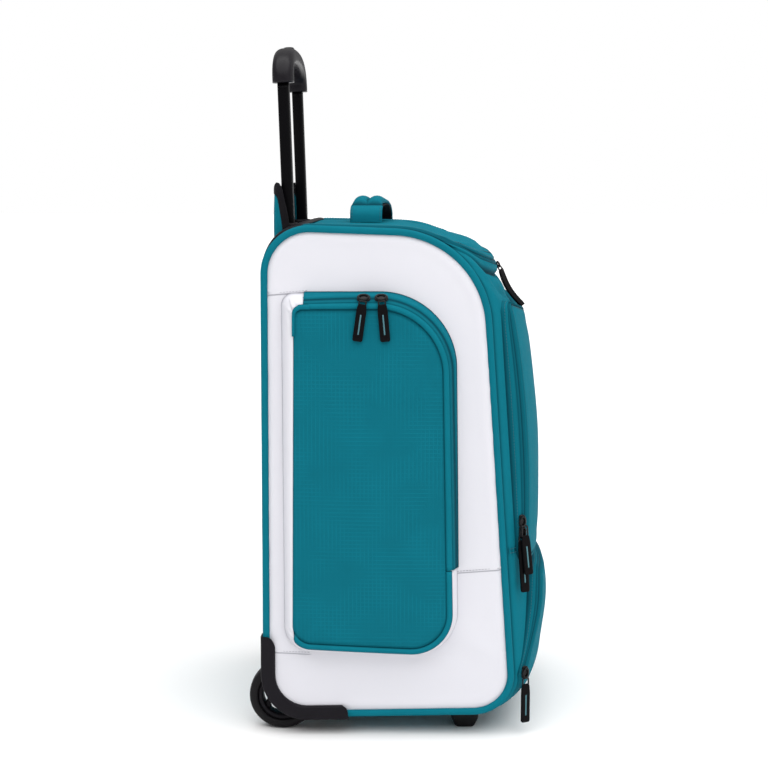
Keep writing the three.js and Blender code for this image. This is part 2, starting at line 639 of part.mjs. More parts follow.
const lidTop = bodyFill(-LID_PROUD - GAP);
const strap = alongX(archShape(CARRY_FOOT_Y, CARRY_TOP_Z, CARRY_THICKNESS), ...CARRY_X).subtract(lidTop);
const under = CARRY_THICKNESS + GAP;
const lining = alongX(archShape(CARRY_FOOT_Y - under, CARRY_TOP_Z - under, CARRY_LINING), ...CARRY_X)
  .subtract(lidTop);
addPart('carry_handle', toGeometry(strap), tealCloth);
addPart('carry_handle_lining', toGeometry(lining), blackCloth);

// Side pockets: a hollow dish on each side panel, its back and foot made of a white gusset
const panelSeat = sidePanel(GAP, SEAT_DEPTH);

function sidePocketLoop(row, lift) {
  const corners = insetCorners(blendCorners(SIDE_POCKET_FOOT, SIDE_POCKET_FACE, row.toFace), -lift);
  const rim = outlinePoints(corners, 2);
  const middle = middleOf(rim);
  return rim.map((p) => {
    const q = middle.clone().lerp(p, row.scale);
    return new THREE.Vector3(q.x, -(panelFace(q.x, q.y) + row.height + lift), q.y);
  });
}

function sidePocketShell(lift, innerLift) {
  const outside = SIDE_POCKET_ROWS.map((row) => sidePocketLoop(row, lift)).reverse();
  const inside = SIDE_POCKET_ROWS.map((row) => sidePocketLoop(row, innerLift));
  return toSolid(skin([...outside, ...inside], false)).subtract(panelSeat);
}

function facePrism(outset) {
  return alongY(outlineShape(insetCorners(SIDE_POCKET_FACE, -outset)), -FAR, 0);
}

// The part of the pocket outside its face that is behind the zip's start or below its end
function gussetRegion(clear) {
  const behind = block([-FAR, SIDE_ZIP_START_X - clear], [-FAR, 0], [0, FAR * 2]);
  const below = block([-FAR, FAR], [-FAR, 0], [0, SIDE_ZIP_END_Z - clear]);
  return behind.add(below).subtract(facePrism(clear));
}

const sideShell = sidePocketShell(0, -POCKET_CLOTH);
const sideZip = sidePocketShell(ZIP_PROUD, 0)
  .subtract(sidePocketShell(ZIP_SEAT, -POCKET_CLOTH))
  .intersect(facePrism(SIDE_ZIP_BAND.outer).subtract(facePrism(SIDE_ZIP_BAND.inner)))
  .intersect(block([SIDE_ZIP_START_X, FAR], [-FAR, 0], [SIDE_ZIP_END_Z, FAR * 2]));
addPair('side_pocket', toGeometry(sideShell.subtract(gussetRegion(0))), tealCloth);
addPair('side_pocket_gusset', toGeometry(sideShell.intersect(gussetRegion(GAP))), whiteCloth);
addPair('side_zip', toGeometry(sideZip), tealZip);

// Front pockets: hollow dishes on the front panel, with a zip over the top and down both sides
const frontSeat = bodyFill(-GAP);

function pocketCorners(pocket) {
  const { halfWidth, bottom, top, radius } = pocket;
  return [[-1, bottom], [1, bottom], [1, top], [-1, top]]
    .map(([side, v]) => ({ u: side * halfWidth, v, r: radius, steps: 3 }));
}

function riseAt(pocket, z) {
  const at = THREE.MathUtils.clamp((z - pocket.bottom) / (pocket.top - pocket.bottom), 0, 1);
  const i = Math.max(pocket.heights.findIndex((row) => row.at >= at), 1);
  const [below, above] = [pocket.heights[i - 1], pocket.heights[i]];
  return THREE.MathUtils.mapLinear(at, below.at, above.at, below.rise, above.rise);
}

function frontPocketLoop(pocket, row, lift) {
  const corners = insetCorners(pocketCorners(pocket), row.toFace * pocket.inset - lift);
  const rim = outlinePoints(corners, 3);
  const middle = middleOf(rim);
  return rim.map((p) => {
    const q = middle.clone().lerp(p, row.scale);
    const height = row.rise * riseAt(pocket, q.y) + row.lift + lift;
    return new THREE.Vector3(frontFace(q.x, q.y) + height, q.x, q.y);
  });
}

function frontPocketShell(pocket, lift, innerLift) {
  const outside = FRONT_POCKET_ROWS.map((row) => frontPocketLoop(pocket, row, lift)).reverse();
  const inside = FRONT_POCKET_ROWS.map((row) => frontPocketLoop(pocket, row, innerLift));
  return toSolid(skin([...outside, ...inside], false)).subtract(frontSeat);
}

FRONT_POCKETS.forEach((pocket) => {
  const face = insetCorners(pocketCorners(pocket), pocket.inset);
  const prism = (outset) => alongX(outlineShape(insetCorners(face, -outset)), 0, FAR);
  const zip = frontPocketShell(pocket, ZIP_PROUD, 0)
    .subtract(frontPocketShell(pocket, ZIP_SEAT, -POCKET_CLOTH))
    .intersect(prism(FRONT_ZIP_BAND.outer).subtract(prism(FRONT_ZIP_BAND.inner)))
    .intersect(block([0, FAR], across, [pocket.zipEndZ, FAR * 2]));
  addPart(`front_pocket_${pocket.name}`, toGeometry(frontPocketShell(pocket, 0, -POCKET_CLOTH)), tealCloth);
  addPart(`front_zip_${pocket.name}`, toGeometry(zip), tealZip);
});

// Wheels: a tyre on a spoked hub that turns on a fixed axle
const WHEEL_SIDES = 20;
const AXLE_SIDES = 12;
const flatToFloor = 1 / Math.cos(Math.PI / WHEEL_SIDES);

function wheelDisc(radius, halfWidth) {
  const geometry = new THREE.CylinderGeometry(radius, radius, 2 * halfWidth, WHEEL_SIDES);
  geometry.scale(flatToFloor, 1, flatToFloor);
  geometry.rotateY(Math.PI / WHEEL_SIDES);
  return toSolid(geometry);
}

function tyreSolid() {
  const half = WHEEL.width / 2;
  const profile = TYRE_PROFILE.map(({ radius, y }) => new THREE.Vector2(radius * flatToFloor, y * half));
  profile.push(profile[0].clone());
  const geometry = new THREE.LatheGeometry(profile, WHEEL_SIDES);
  geometry.rotateY(Math.PI / WHEEL_SIDES);
  return toSolid(geometry);
}

function hubSolid() {
  const rim = wheelDisc(TYRE_INNER - GAP, HUB_WIDTH / 2).subtract(wheelDisc(HUB_RIM_INNER, HUB_WIDTH));
  let hub = rim.add(discAlongY(0, 0, BOSS_RADIUS, [-BOSS_HALF, BOSS_HALF], AXLE_SIDES));
  const reach = (HUB_RIM_INNER + TYRE_INNER) / 2;
  for (let k = 0; k < SPOKES; k += 1) {
    const spoke = new THREE.BoxGeometry(reach, SPOKE_THICKNESS, SPOKE_WIDTH);
    spoke.translate(reach / 2, 0, 0);
    spoke.rotateY((2 * Math.PI * k) / SPOKES + SPOKE_TURN);
    hub = hub.add(toSolid(spoke));
  }
  return hub.subtract(discAlongY(0, 0, BORE_RADIUS, [-FAR, FAR], AXLE_SIDES));
}

const wheelPlace = [WHEEL.x, -WHEEL.y, WHEEL.radius];
addPair('tyre', toGeometry(tyreSolid().translate(wheelPlace)), blackRubber);
addPair('hub', toGeometry(hubSolid().translate(wheelPlace)), blackPlastic);
const axleEnds = [-GUSSET_Y + GAP, -HOUSING_INNER_Y - GAP];
addPair('axle', toGeometry(discAlongY(WHEEL.x, WHEEL.radius, AXLE_RADIUS, axleEnds, AXLE_SIDES)), blackMetal);

// Wheel housing: a corner guard over the piping, with a fork and a well for the wheel behind it
function wheelHousing() {
  const outside = insetCorners(EDGE_CORNERS, -GUARD.outset);
  const band = outlineShape(outside, insetCorners(EDGE_CORNERS, GUARD.inset));
  const edge = outlineShape(outside, insetCorners(EDGE_CORNERS, GUARD.lip - GUARD.outset));
  const innerFace = -(GUARD.faceY - GUARD.thickness);
  const flange = alongY(band, -GUARD.faceY, innerFace);
  const lip = alongY(edge, innerFace - GUARD.thickness / 2, -HOUSING_INNER_Y);
  const guard = flange.add(lip).intersect(block([-FAR, GUARD.frontX], across, [-FAR, GUARD.topZ]));
  const forkY = [-GUSSET_Y, -HOUSING_INNER_Y];
  const fork = discAlongY(WHEEL.x, WHEEL.radius, WELL.radius + WELL.wall, forkY, WHEEL_SIDES)
    .intersect(alongY(outlineShape(outside), ...forkY));
  const well = discAlongY(WHEEL.x, WHEEL.radius, WELL.radius, [-WELL.outerY, -WELL.innerY], WHEEL_SIDES);
  const bore = discAlongY(WHEEL.x, WHEEL.radius, BORE_RADIUS, [-GUSSET_Y - 1, 0], AXLE_SIDES);
  return guard.add(fork).subtract(well).subtract(bore);
}
addPair('wheel_housing', toGeometry(wheelHousing()), blackPlastic);

function footSolid() {
  const side = polygonShape([
    [FOOT.bottomX[0], 0], [FOOT.bottomX[1], 0], [FOOT.topX[1], FOOT.shoulderZ], [FOOT.topX[1], FOOT.height],
    [FOOT.topX[0], FOOT.height], [FOOT.topX[0], FOOT.shoulderZ],
  ]);
  return alongY(side, -FOOT.y - FOOT.width / 2, -FOOT.y + FOOT.width / 2).subtract(frontSeat);
}
addPair('foot', toGeometry(footSolid()), blackRubber);

// Zip sliders and pull tabs, made lying flat and then turned onto their zips
function placed(geometry, row) {
  const out = new THREE.Vector3(...row.out).normalize();
  const right = new THREE.Vector3(...row.right).projectOnPlane(out).normalize();
  const up = out.clone().cross(right);
  const place = new THREE.Matrix4().makeBasis(right, up, out).setPosition(...row.at);
  return closeUp(geometry.clone().applyMatrix4(place));
}

function sliderGeometry() {
  const { length, width, height, corner } = SLIDER;
  const corners = [[-1, -1], [1, -1], [1, 1], [-1, 1]];
  const plan = corners.map(([a, b]) => ({ u: (a * length) / 2, v: (b * width) / 2, r: corner }));
  const shape = new THREE.Shape(outlinePoints(plan, 1, 2));
  return new THREE.ExtrudeGeometry(shape, { depth: height, bevelEnabled: false });
}

// A tab hanging down from a square bail: local Y is up, and the bail's top is at the origin
function tabGeometry(bail, length) {
  const { width, thickness, neck, wire, shoulder, eyeSink } = TAB;
  const shape = polygonShape([
    [-neck / 2, 0], [-neck / 2, -bail], [-width / 2, -bail - shoulder], [-width / 2, -bail - length],
    [width / 2, -bail - length], [width / 2, -bail - shoulder], [neck / 2, -bail], [neck / 2, 0],
  ]);
  const eye = neck / 2 - wire;
  const eyeBottom = -bail - eyeSink;
  const hole = polygonShape([[-eye, -wire], [eye, -wire], [eye, eyeBottom], [-eye, eyeBottom]]);
  shape.holes.push(new THREE.Path(hole.getPoints()));
  const geometry = new THREE.ExtrudeGeometry(shape, { depth: thickness, bevelEnabled: false });
  geometry.translate(0, 0, -thickness / 2);
  return geometry;
}

SLIDERS.forEach((row) => {
  const geometry = placed(sliderGeometry(), row);
  if (row.pair) addPair(`slider_${row.name}`, geometry, blackMetal);
  else addPart(`slider_${row.name}`, geometry, blackMetal);
});
PULLS.forEach((row) => {
  const geometry = placed(tabGeometry(row.bail, row.length), row);
  if (row.pair) addPair(`pull_${row.name}`, geometry, blackRubber);
  else addPart(`pull_${row.name}`, geometry, blackRubber);
});

export default bag;
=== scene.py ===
# Wheeled softball equipment bag in teal and white cloth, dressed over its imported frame.
# Shapes are worked out in millimetres, +X to the bag's front, +Y to its left side, +Z up.
import math
import bpy
import bmesh
import numpy as np
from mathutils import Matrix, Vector


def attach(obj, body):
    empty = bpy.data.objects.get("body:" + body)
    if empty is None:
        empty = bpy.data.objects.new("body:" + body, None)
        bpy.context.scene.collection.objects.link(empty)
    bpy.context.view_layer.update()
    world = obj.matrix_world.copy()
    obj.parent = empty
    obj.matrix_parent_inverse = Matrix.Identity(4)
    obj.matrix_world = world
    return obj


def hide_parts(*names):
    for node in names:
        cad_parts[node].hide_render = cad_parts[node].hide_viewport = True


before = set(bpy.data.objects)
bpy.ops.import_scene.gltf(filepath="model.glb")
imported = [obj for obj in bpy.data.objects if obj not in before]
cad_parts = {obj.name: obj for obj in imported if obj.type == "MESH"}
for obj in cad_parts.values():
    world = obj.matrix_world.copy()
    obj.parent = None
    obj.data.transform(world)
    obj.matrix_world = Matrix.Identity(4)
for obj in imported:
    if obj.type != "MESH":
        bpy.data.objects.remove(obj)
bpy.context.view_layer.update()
print("frame loaded:", len(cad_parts), "nodes")

mm = 0.001
weld = 2e-6  # metres: points nearer than this become one


# a vector scaled to length one
def unit(v):
    return v / np.maximum(np.linalg.norm(v, axis=-1, keepdims=True), 1e-9)


# bell curve: one at zero, fading to nothing over a width
def bell(x, width):
    return np.exp(-(x / width) ** 2)


# smooth S from 0 at a to 1 at b
def ease(x, a, b):
    t = np.clip((x - a) / (b - a), 0, 1)
    return t * t * (3 - 2 * t)


# powers of cosine and sine of an angle: power 1 is a circle, small powers are square
def superPoint(a, power):
    c, s = np.cos(a), np.sin(a)
    return np.sign(c) * np.abs(c) ** power, np.sign(s) * np.abs(s) ** power


# a closed loop of such points
def superLoop(count, power):
    return superPoint(np.linspace(0, 2 * np.pi, count), power)


# distance of each point of a path from its start
def lengthAlong(path):
    return np.pad(np.cumsum(np.linalg.norm(np.diff(path, axis=0), axis=1)), (1, 0))


# columns of a table read off between its rows
def readOff(at, along, table):
    return np.stack([np.interp(at, along, column) for column in table.T], -1)


# directions along a path, turned to point away from a centre
def facingOut(out, path, centre):
    return out * np.sign((out * (path - np.array(centre, float))).sum(1))[:, None]


# quarter round: from 0 up to 1 while t goes from 0 to 1
def quarterRound(t):
    return np.sqrt(np.clip(1 - (1 - np.clip(t, 0, 1)) ** 2, 0, 1))


# draws both ends of a tube of rows in to their middles
def capped(rows):
    first = rows[:1].mean(1, keepdims=True) + 0 * rows[:1]
    last = rows[-1:].mean(1, keepdims=True) + 0 * rows[-1:]
    return np.concatenate([first, rows, last])


# a value of every face of a mesh, in rows of a width
def faceValues(mesh, what, width):
    values = np.zeros(len(mesh.polygons) * width)
    mesh.polygons.foreach_get(what, values)
    return values.reshape(-1, width)


# quads of a grid of points, row by row
def gridQuads(rows, cols):
    r, c = np.meshgrid(np.arange(rows - 1), np.arange(cols - 1), indexing="ij")
    a = r * cols + c
    return np.stack([a, a + 1, a + cols + 1, a + cols], -1).reshape(-1, 4)


# flat map of a grid, measured along its rows and columns
def measuredFlat(points):
    u = np.pad(np.cumsum(np.linalg.norm(np.diff(points, axis=1), axis=-1).mean(0)), (1, 0))
    v = np.pad(np.cumsum(np.linalg.norm(np.diff(points, axis=0), axis=-1).mean(1)), (1, 0))
    return np.stack(np.meshgrid(u, v), -1)


# one grid of points (rows, cols, 3), its flat map, and tone: painted shade for how deep in a seam or crease
# each point lies
def sheetPart(points, flat=None, mat=0, tone=0.0):
    rows, cols = points.shape[:2]
    flat = measuredFlat(points) if flat is None else flat
    return {"co": points.reshape(-1, 3), "quads": gridQuads(rows, cols), "flat": flat.reshape(-1, 2),
            "mat": mat, "tone": np.broadcast_to(tone, (rows, cols)).reshape(-1)}


# joins grids into one mesh, closes its seams and poles, and turns its faces outwards:
# away from outFrom for an open sheet, which also gets a wall, or by volume for a closed one;
# cut, the flat size of a sheet of cloth before it was sewn in, and on, what it is stretched over, are not
# used
def makePiece(name, parts, mats, body="bag", replaces=(), slot=None, wall=0.0, outFrom=None, mirrored=False,
              cut=None, on=()):
    starts = np.cumsum([0] + [len(p["co"]) for p in parts[:-1]])
    co = np.concatenate([p["co"] for p in parts]) * ([1, -1, 1] if mirrored else [1, 1, 1])
    quads = np.concatenate([p["quads"] + n for p, n in zip(parts, starts)])
    flat = np.concatenate([p["flat"] for p in parts]) * mm
    mesh = bpy.data.meshes.new(name)
    mesh.from_pydata((co * mm).tolist(), [], quads.tolist())
    mesh.uv_layers.new(name="flat").data.foreach_set("uv", flat[quads.ravel()].ravel())
    # painted shade of each point, kept as an attribute that the cloth materials darken by
    tone = np.concatenate([p["tone"] for p in parts])
    mesh.attributes.new("tone", "FLOAT", "POINT").data.foreach_set("value", tone.astype(np.float32))
    picks = np.concatenate([np.full(len(p["quads"]), p["mat"]) for p in parts])
    mesh.polygons.foreach_set("material_index", picks.astype(np.int32))
    mesh.polygons.foreach_set("use_smooth", np.ones(len(quads), bool))
    bm = bmesh.new()
    bm.from_mesh(mesh)
    bmesh.ops.remove_doubles(bm, verts=bm.verts, dist=weld)
    if outFrom is None:
        bmesh.ops.recalc_face_normals(bm, faces=bm.faces)
    bm.to_mesh(mesh)
    bm.free()
    area = faceValues(mesh, "area", 1)
    if outFrom is not None:
        away = faceValues(mesh, "center", 3) - np.array(outFrom) * mm
        if (away * faceValues(mesh, "normal", 3) * area).sum() < 0:
            mesh.flip_normals()
    for m in mats if isinstance(mats, (list, tuple)) else [mats]:
        mesh.materials.append(m)
    obj = bpy.data.objects.new(name, mesh)
    bpy.context.scene.collection.objects.link(obj)
    if wall:
        solid = obj.modifiers.new("wall", "SOLIDIFY")
        solid.thickness = wall * mm
        solid.offset = -1
    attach(obj, body)
    if replaces:
        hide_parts(*replaces)
    return obj


# a piece on each side of the bag: parts are worked out for the right side and mirrored in Y for the left
def makePair(name, parts, mats, stands=(), outFrom=None, on=(), **rest):
    made = []
    for side, turn in (("right", 1), ("left", -1)):
        away = None if outFrom is None else (outFrom[0], outFrom[1] * turn, outFrom[2])
        onSide = lambda names: [n + "_" + side for n in names]
        made.append(makePiece(name + "_" + side, parts, mats, replaces=onSide(stands), outFrom=away,
                              mirrored=turn < 0, on=onSide(on), **rest))
    return made


# a closed loop (n, 2) carried along a path (m, 3) on its own side and up vectors, with caps at both ends
def carryLoop(loop, path, side, up, scale=None, caps=True, mat=0):
    side, up = (np.broadcast_to(np.asarray(v, float), path.shape) for v in (side, up))
    scale = np.ones((len(path), 2)) if scale is None else scale
    loops = np.broadcast_to(loop, (len(path),) + loop.shape[-2:]) * scale[:, None, :]
    rows = path[:, None, :] + loops[..., :1] * side[:, None, :] + loops[..., 1:] * up[:, None, :]
    return sheetPart(capped(rows) if caps else rows, mat=mat)


# a round wire along a closed path: circles set square to the path
def wirePart(path, radius, sides=10, mat=0):
    ahead = unit(np.roll(path, -1, 0) - np.roll(path, 1, 0))
    side = unit(np.cross(ahead, np.array([0, 0, 1.0]) + 1e-4))
    up = np.cross(side, ahead)
    path, side, up = (np.concatenate([a, a[:1]]) for a in (path, side, up))
    loop = np.stack(superLoop(sides + 1, 1.0), -1) * radius
    return carryLoop(loop, path, side, up, caps=False, mat=mat)


# thread stitches along a path: each is a little five-sided capsule, half sunk in the cloth
def stitchPart(path, out, pitch=3.6, length=2.7, radius=0.42):
    along = lengthAlong(path)
    at = np.arange(pitch / 2, along[-1], pitch)
    out = np.broadcast_to(np.asarray(out, float), path.shape)
    ahead = unit(readOff(at + 0.6, along, path) - readOff(at - 0.6, along, path))
    up = unit(readOff(at, along, out))
    side = unit(np.cross(ahead, up))
    up = np.cross(side, ahead)
    x, y = superLoop(6, 1.0)
    step = np.array([-1, -0.8, 0.8, 1]) * length / 2
    swell = np.array([0.02, 1, 1, 0.02]) * radius
    local = (step[:, None, None] * ahead[:, None, None, :]
             + (swell[:, None] * x)[..., None] * side[:, None, None, :]
             + (swell[:, None] * y)[..., None] * up[:, None, None, :])
    co = (readOff(at, along, path)[:, None, None, :] + local).reshape(-1, 3)
    each = len(step) * len(x)
    quads = (gridQuads(len(step), len(x)) + np.arange(len(at))[:, None, None] * each).reshape(-1, 4)
    return {"co": co, "quads": quads, "flat": co[:, :2], "mat": 0, "tone": np.zeros(len(co))}


# a profile of (radius, offset) turned round an axis along Y through (x, z), offset measured from y
def turnPart(profile, x, y, z, steps):
    a = np.linspace(0, 2 * np.pi, steps)[:, None]
    radius, offset = np.array(profile, float).T
    return sheetPart(np.stack([x + radius * np.cos(a), y + offset + 0 * a, z + radius * np.sin(a)], -1))


# moving average over three points, the ends kept
def averaged(line, passes):
    for _ in range(passes):
        line[1:-1] = (line[:-2] + 2 * line[1:-1] + line[2:]) / 4
    return line


# rounds the corners of a list of points: each straight is resampled and then averaged
def softened(points, count, passes, closed=False):
    points = np.asarray(points, float)
    points = np.concatenate([points, points[:1]]) if closed else points
    along = lengthAlong(points)
    smooth = readOff(np.linspace(0, along[-1], count), along, points)
    if not closed:
        return averaged(smooth, passes)
    ring = smooth[:-1]
    for _ in range(passes):
        ring = (np.roll(ring, 1, 0) + 2 * ring + np.roll(ring, -1, 0)) / 4
    return ring


# materials
def newMaterial(name):
    mat = bpy.data.materials.new(name)
    mat.use_nodes = True
    return mat, mat.node_tree, mat.node_tree.nodes["Principled BSDF"]


# an input is linked to another node's output, or set to a value
def setInputs(tree, node, inputs):
    for key, value in inputs.items():
        if isinstance(value, bpy.types.NodeSocket):
            tree.links.new(value, node.inputs[key])
        else:
            node.inputs[key].default_value = value


def addNode(tree, kind, inputs=None, **values):
    node = tree.nodes.new("ShaderNode" + kind)
    for key, value in values.items():
        setattr(node, key, value)
    setInputs(tree, node, inputs or {})
    return node


def mathNode(tree, operation, a, b=0.0):
    return addNode(tree, "Math", {0: a, 1: b}, operation=operation).outputs[0]


def mixColour(tree, factor, a, b):
    return addNode(tree, "Mix", {0: factor, 6: a, 7: b}, data_type="RGBA").outputs[2]


def noiseNode(tree, place, scale, detail, rough=0.5):
    inputs = {"Vector": place, "Scale": scale, "Detail": detail, "Roughness": rough}
    return addNode(tree, "TexNoise", inputs).outputs[0]


# a colour made lighter or darker by a factor, with full alpha
def shade(colour, factor):
    return tuple(min(c * factor, 1.0) for c in colour) + (1.0,)


# woven cloth: sines across the flat map make the weave, noise varies the dye, the tone attribute paints shade
# into seams and creases, and rip is the spacing of a raised square grid in the weave, which comes and goes in
# patches
def clothMaterial(name, look):
    mat, tree, shader = newMaterial(name)
    colour = look["colour"]
    times = lambda a, b: mathNode(tree, "MULTIPLY", a, b)
    flat = addNode(tree, "SeparateXYZ", {0: addNode(tree, "UVMap", uv_map="flat").outputs[0]})
    wave = lambda axis: mathNode(tree, "SINE", times(flat.outputs[axis], 2 * math.pi / (look["weave"] * mm)))
    weave = times(wave(0), wave(1))
    place = addNode(tree, "TexCoord").outputs["Object"]
    dye = noiseNode(tree, place, look["dyeScale"], 4.0, 0.6)
    fibre = noiseNode(tree, place, 1400.0, 2.0)
    base = mixColour(tree, dye, shade(colour, 1 - look["dye"]), shade(colour, 1 + look["dye"]))
    base = mixColour(tree, times(fibre, look["fibre"]), base, shade(colour, 0.55))
    height = mathNode(tree, "ADD", times(weave, 0.5), times(fibre, 0.8))
    if look.get("rip"):
        lines = []
        for axis, shift in ((0, 0.0), (1, 3.7)):
            turn = times(flat.outputs[axis], math.pi / (look["rip"] * mm))
            line = mathNode(tree, "POWER", mathNode(tree, "ABSOLUTE", mathNode(tree, "COSINE", turn)), 14.0)
            moved = addNode(tree, "VectorMath", {0: place, 1: (shift,) * 3}, operation="ADD").outputs[0]
            patch = {0: noiseNode(tree, moved, 21.0, 1.0), 1: 0.42, 2: 0.60, 3: 0.12, 4: 1.0}
            lines.append(times(line, addNode(tree, "MapRange", patch).outputs[0]))
        grid = mathNode(tree, "MAXIMUM", *lines)
        base = mixColour(tree, times(grid, look["ripTint"]), base, shade(colour, 1.9))
        height = mathNode(tree, "ADD", height, times(grid, 1.6))
    # painted shade: the tone attribute mixes the cloth toward its dark seamShadeColour, at the strength seam
    seam = addNode(tree, "Attribute", attribute_name="tone").outputs["Fac"]
    base = mixColour(tree, times(seam, look["seam"]), base, shade(look["seamShadeColour"], 1.0))
    bump = addNode(tree, "Bump", {"Height": height, "Strength": look["bump"], "Distance": 0.0003})
    setInputs(tree, shader, {"Base Color": base, "Normal": bump.outputs[0], "Roughness": look["rough"],
                             "Sheen Weight": look["sheen"], "Sheen Roughness": 0.45,
                             "Specular IOR Level": look["gloss"]})
    return mat


# moulded plastic, rubber and painted metal: noise roughens the surface and rubs the colour slightly
def mouldedMaterial(name, colour, grain, rough, bump, gloss=0.5, metal=0.0):
    mat, tree, shader = newMaterial(name)
    place = addNode(tree, "TexCoord").outputs["Object"]
    rub = noiseNode(tree, place, 22.0, 5.0, 0.65)
    base = mixColour(tree, rub, shade(colour, 0.75), shade(colour, 1.3))
    patchy = addNode(tree, "MapRange", {0: rub, 3: rough - 0.08, 4: rough + 0.08})
    height = noiseNode(tree, place, grain, 3.0)
    bumps = addNode(tree, "Bump", {"Height": height, "Strength": bump, "Distance": 0.0002})
    setInputs(tree, shader, {"Base Color": base, "Roughness": patchy.outputs[0], "Normal": bumps.outputs[0],
                             "Metallic": metal, "Specular IOR Level": gloss})
    return mat


# seam is the strength of the painted shade in seams and creases, seamShadeColour the colour of that shade
tealLook = {"colour": (0.004, 0.160, 0.216), "weave": 0.7, "dye": 0.10, "dyeScale": 26.0, "fibre": 0.25,
            "bump": 0.35, "rough": 0.66, "sheen": 0.0, "gloss": 0.03,
            "seam": 0.95, "seamShadeColour": (0.001, 0.030, 0.045)}
whiteLook = {"colour": (0.69, 0.684, 0.728), "weave": 0.5, "dye": 0.015, "dyeScale": 12.0, "fibre": 0.03,
             "bump": 0.10, "rough": 0.5, "sheen": 0.0, "gloss": 0.15,
             "seam": 0.75, "seamShadeColour": (0.22, 0.22, 0.26)}
blackLook = {"colour": (0.007, 0.0062, 0.008), "weave": 0.9, "dye": 0.15, "dyeScale": 40.0, "fibre": 0.2,
             "bump": 0.5, "rough": 0.75, "sheen": 0.03, "gloss": 0.1,
             "seam": 0.8, "seamShadeColour": (0.003, 0.003, 0.004)}
tealCloth = clothMaterial("teal_cloth", tealLook)
ripCloth = clothMaterial("teal_ripstop", dict(tealLook, colour=(0.0036, 0.139, 0.189), rip=4.6, ripTint=0.17))
tealTape = clothMaterial("teal_zip_tape", dict(tealLook, colour=(0.003, 0.125, 0.172), weave=1.5, bump=0.6))
whiteCloth = clothMaterial("white_coated_cloth", whiteLook)
blackCloth = clothMaterial("black_cloth", blackLook)
# moulded ones: colour, grain, rough, bump
tealThread = mouldedMaterial("teal_thread", (0.006, 0.10, 0.135), 2500.0, 0.6, 0.3)
greyThread = mouldedMaterial("grey_thread", (0.30, 0.30, 0.34), 2500.0, 0.6, 0.3)
blackPlastic = mouldedMaterial("black_moulded_plastic", (0.0075, 0.0064, 0.0088), 1300.0, 0.42, 0.18,
                               gloss=0.10)
blackTube = mouldedMaterial("black_tube", (0.002, 0.0018, 0.0024), 1800.0, 0.34, 0.04, gloss=0.06)
gripPlastic = mouldedMaterial("grip_plastic", (0.009, 0.0078, 0.0102), 1300.0, 0.36, 0.12, gloss=0.14)
blackRubber = mouldedMaterial("black_rubber", (0.0045, 0.004, 0.005), 900.0, 0.55, 0.2, gloss=0.18)
tabRubber = mouldedMaterial("black_tab_rubber", (0.0028, 0.0022, 0.0028), 900.0, 0.5, 0.2, gloss=0.07)
darkMetal = mouldedMaterial("dark_zip_metal", (0.005, 0.005, 0.0056), 1500.0, 0.26, 0.05,
                            gloss=0.3, metal=0.2)
tabInlay = mouldedMaterial("tab_inlay", (0.05, 0.16, 0.19), 1500.0, 0.5, 0.1)
print("materials made")


# the bag seen from the side: rows are back bottom, front bottom, front top and back top, as x, z, radius,
# at the piping (edge) and half way across (middle), where the front swells
bodyShape = {
    "edge": np.array([(-162, 19, 52), (136, 27, 48), (96, 590, 115), (-160, 599.2, 56)], float),
    "middle": np.array([(-162, 19, 52), (171.5, 25, 58), (129.5, 602, 125), (-160, 598, 56)], float),
    "halfWidth": 155.7, "crownPower": 2.5, "crownRoot": 0.615, "centre": (-10, 0, 300),
}


# centre, radius, first angle and turn of the arc at corner k, which touches both straights that meet there
def cornerArc(corners, k):
    p, n = corners[..., :2], corners.shape[-2]
    here, r = p[..., k, :], corners[..., k, 2]
    back, ahead = unit(p[..., k - 1, :] - here), unit(p[..., (k + 1) % n, :] - here)
    half = np.arccos(np.clip((back * ahead).sum(-1), -1, 1)) / 2
    centre = here + unit(back + ahead) * (r / np.sin(half))[..., None]
    start = here + back * (r / np.tan(half))[..., None] - centre
    return centre, r, np.arctan2(start[..., 1], start[..., 0]), np.pi - 2 * half


# rounded outline of n corners: s from 0 to 2n, even stretches are the arcs, odd ones the straights after
# them; gives the place and the outward direction, both (.., 2)
def outlineAt(s, corners):
    n = np.shape(corners)[-2]
    s = np.mod(np.asarray(s, float), 2.0 * n)
    corners = np.broadcast_to(corners, s.shape + (n, 3))
    arcs = [cornerArc(corners, k) for k in range(n)]
    stack = lambda j: np.stack([a[j] for a in arcs], -1 if j else -2)
    centre, radius, first, turn = (stack(j) for j in range(4))
    k = (s // 2).astype(int)
    f = s - 2 * k

    def arcPoint(i, t):
        pick = lambda a: np.take_along_axis(a, (i % n)[..., None], -1)[..., 0]
        angle = pick(first) + pick(turn) * t
        out = np.stack([np.cos(angle), np.sin(angle)], -1)
        c = np.stack([pick(centre[..., 0]), pick(centre[..., 1])], -1)
        return c + out * pick(radius)[..., None], out

    here, normal = arcPoint(k, np.minimum(f, 1))
    there, _ = arcPoint(k + 1, np.zeros_like(f))
    return here + (there - here) * np.clip(f - 1, 0, 1)[..., None], normal


# swell across the bag: one in the middle, nothing at the piping, (1 - t^power)^root
def crownAt(y):
    t = np.clip(np.abs(y) / bodyShape["halfWidth"], 0, 1)
    return (1 - t ** bodyShape["crownPower"]) ** bodyShape["crownRoot"]


# corners of the bag's outline at y: the edge's, moved to the middle's by the swell
def bodyCorners(y):
    c = crownAt(np.asarray(y, float))[..., None, None]
    return bodyShape["edge"] + (bodyShape["middle"] - bodyShape["edge"]) * c


# point of the body's skin: outline place s at y across, moved out by lift
def bodyAt(s, y, lift=0.0):
    s, y = np.broadcast_arrays(np.asarray(s, float), np.asarray(y, float))
    place, normal = outlineAt(s, bodyCorners(y))
    place = place + normal * np.broadcast_to(lift, s.shape)[..., None]
    return np.stack([place[..., 0], y, place[..., 1]], -1)


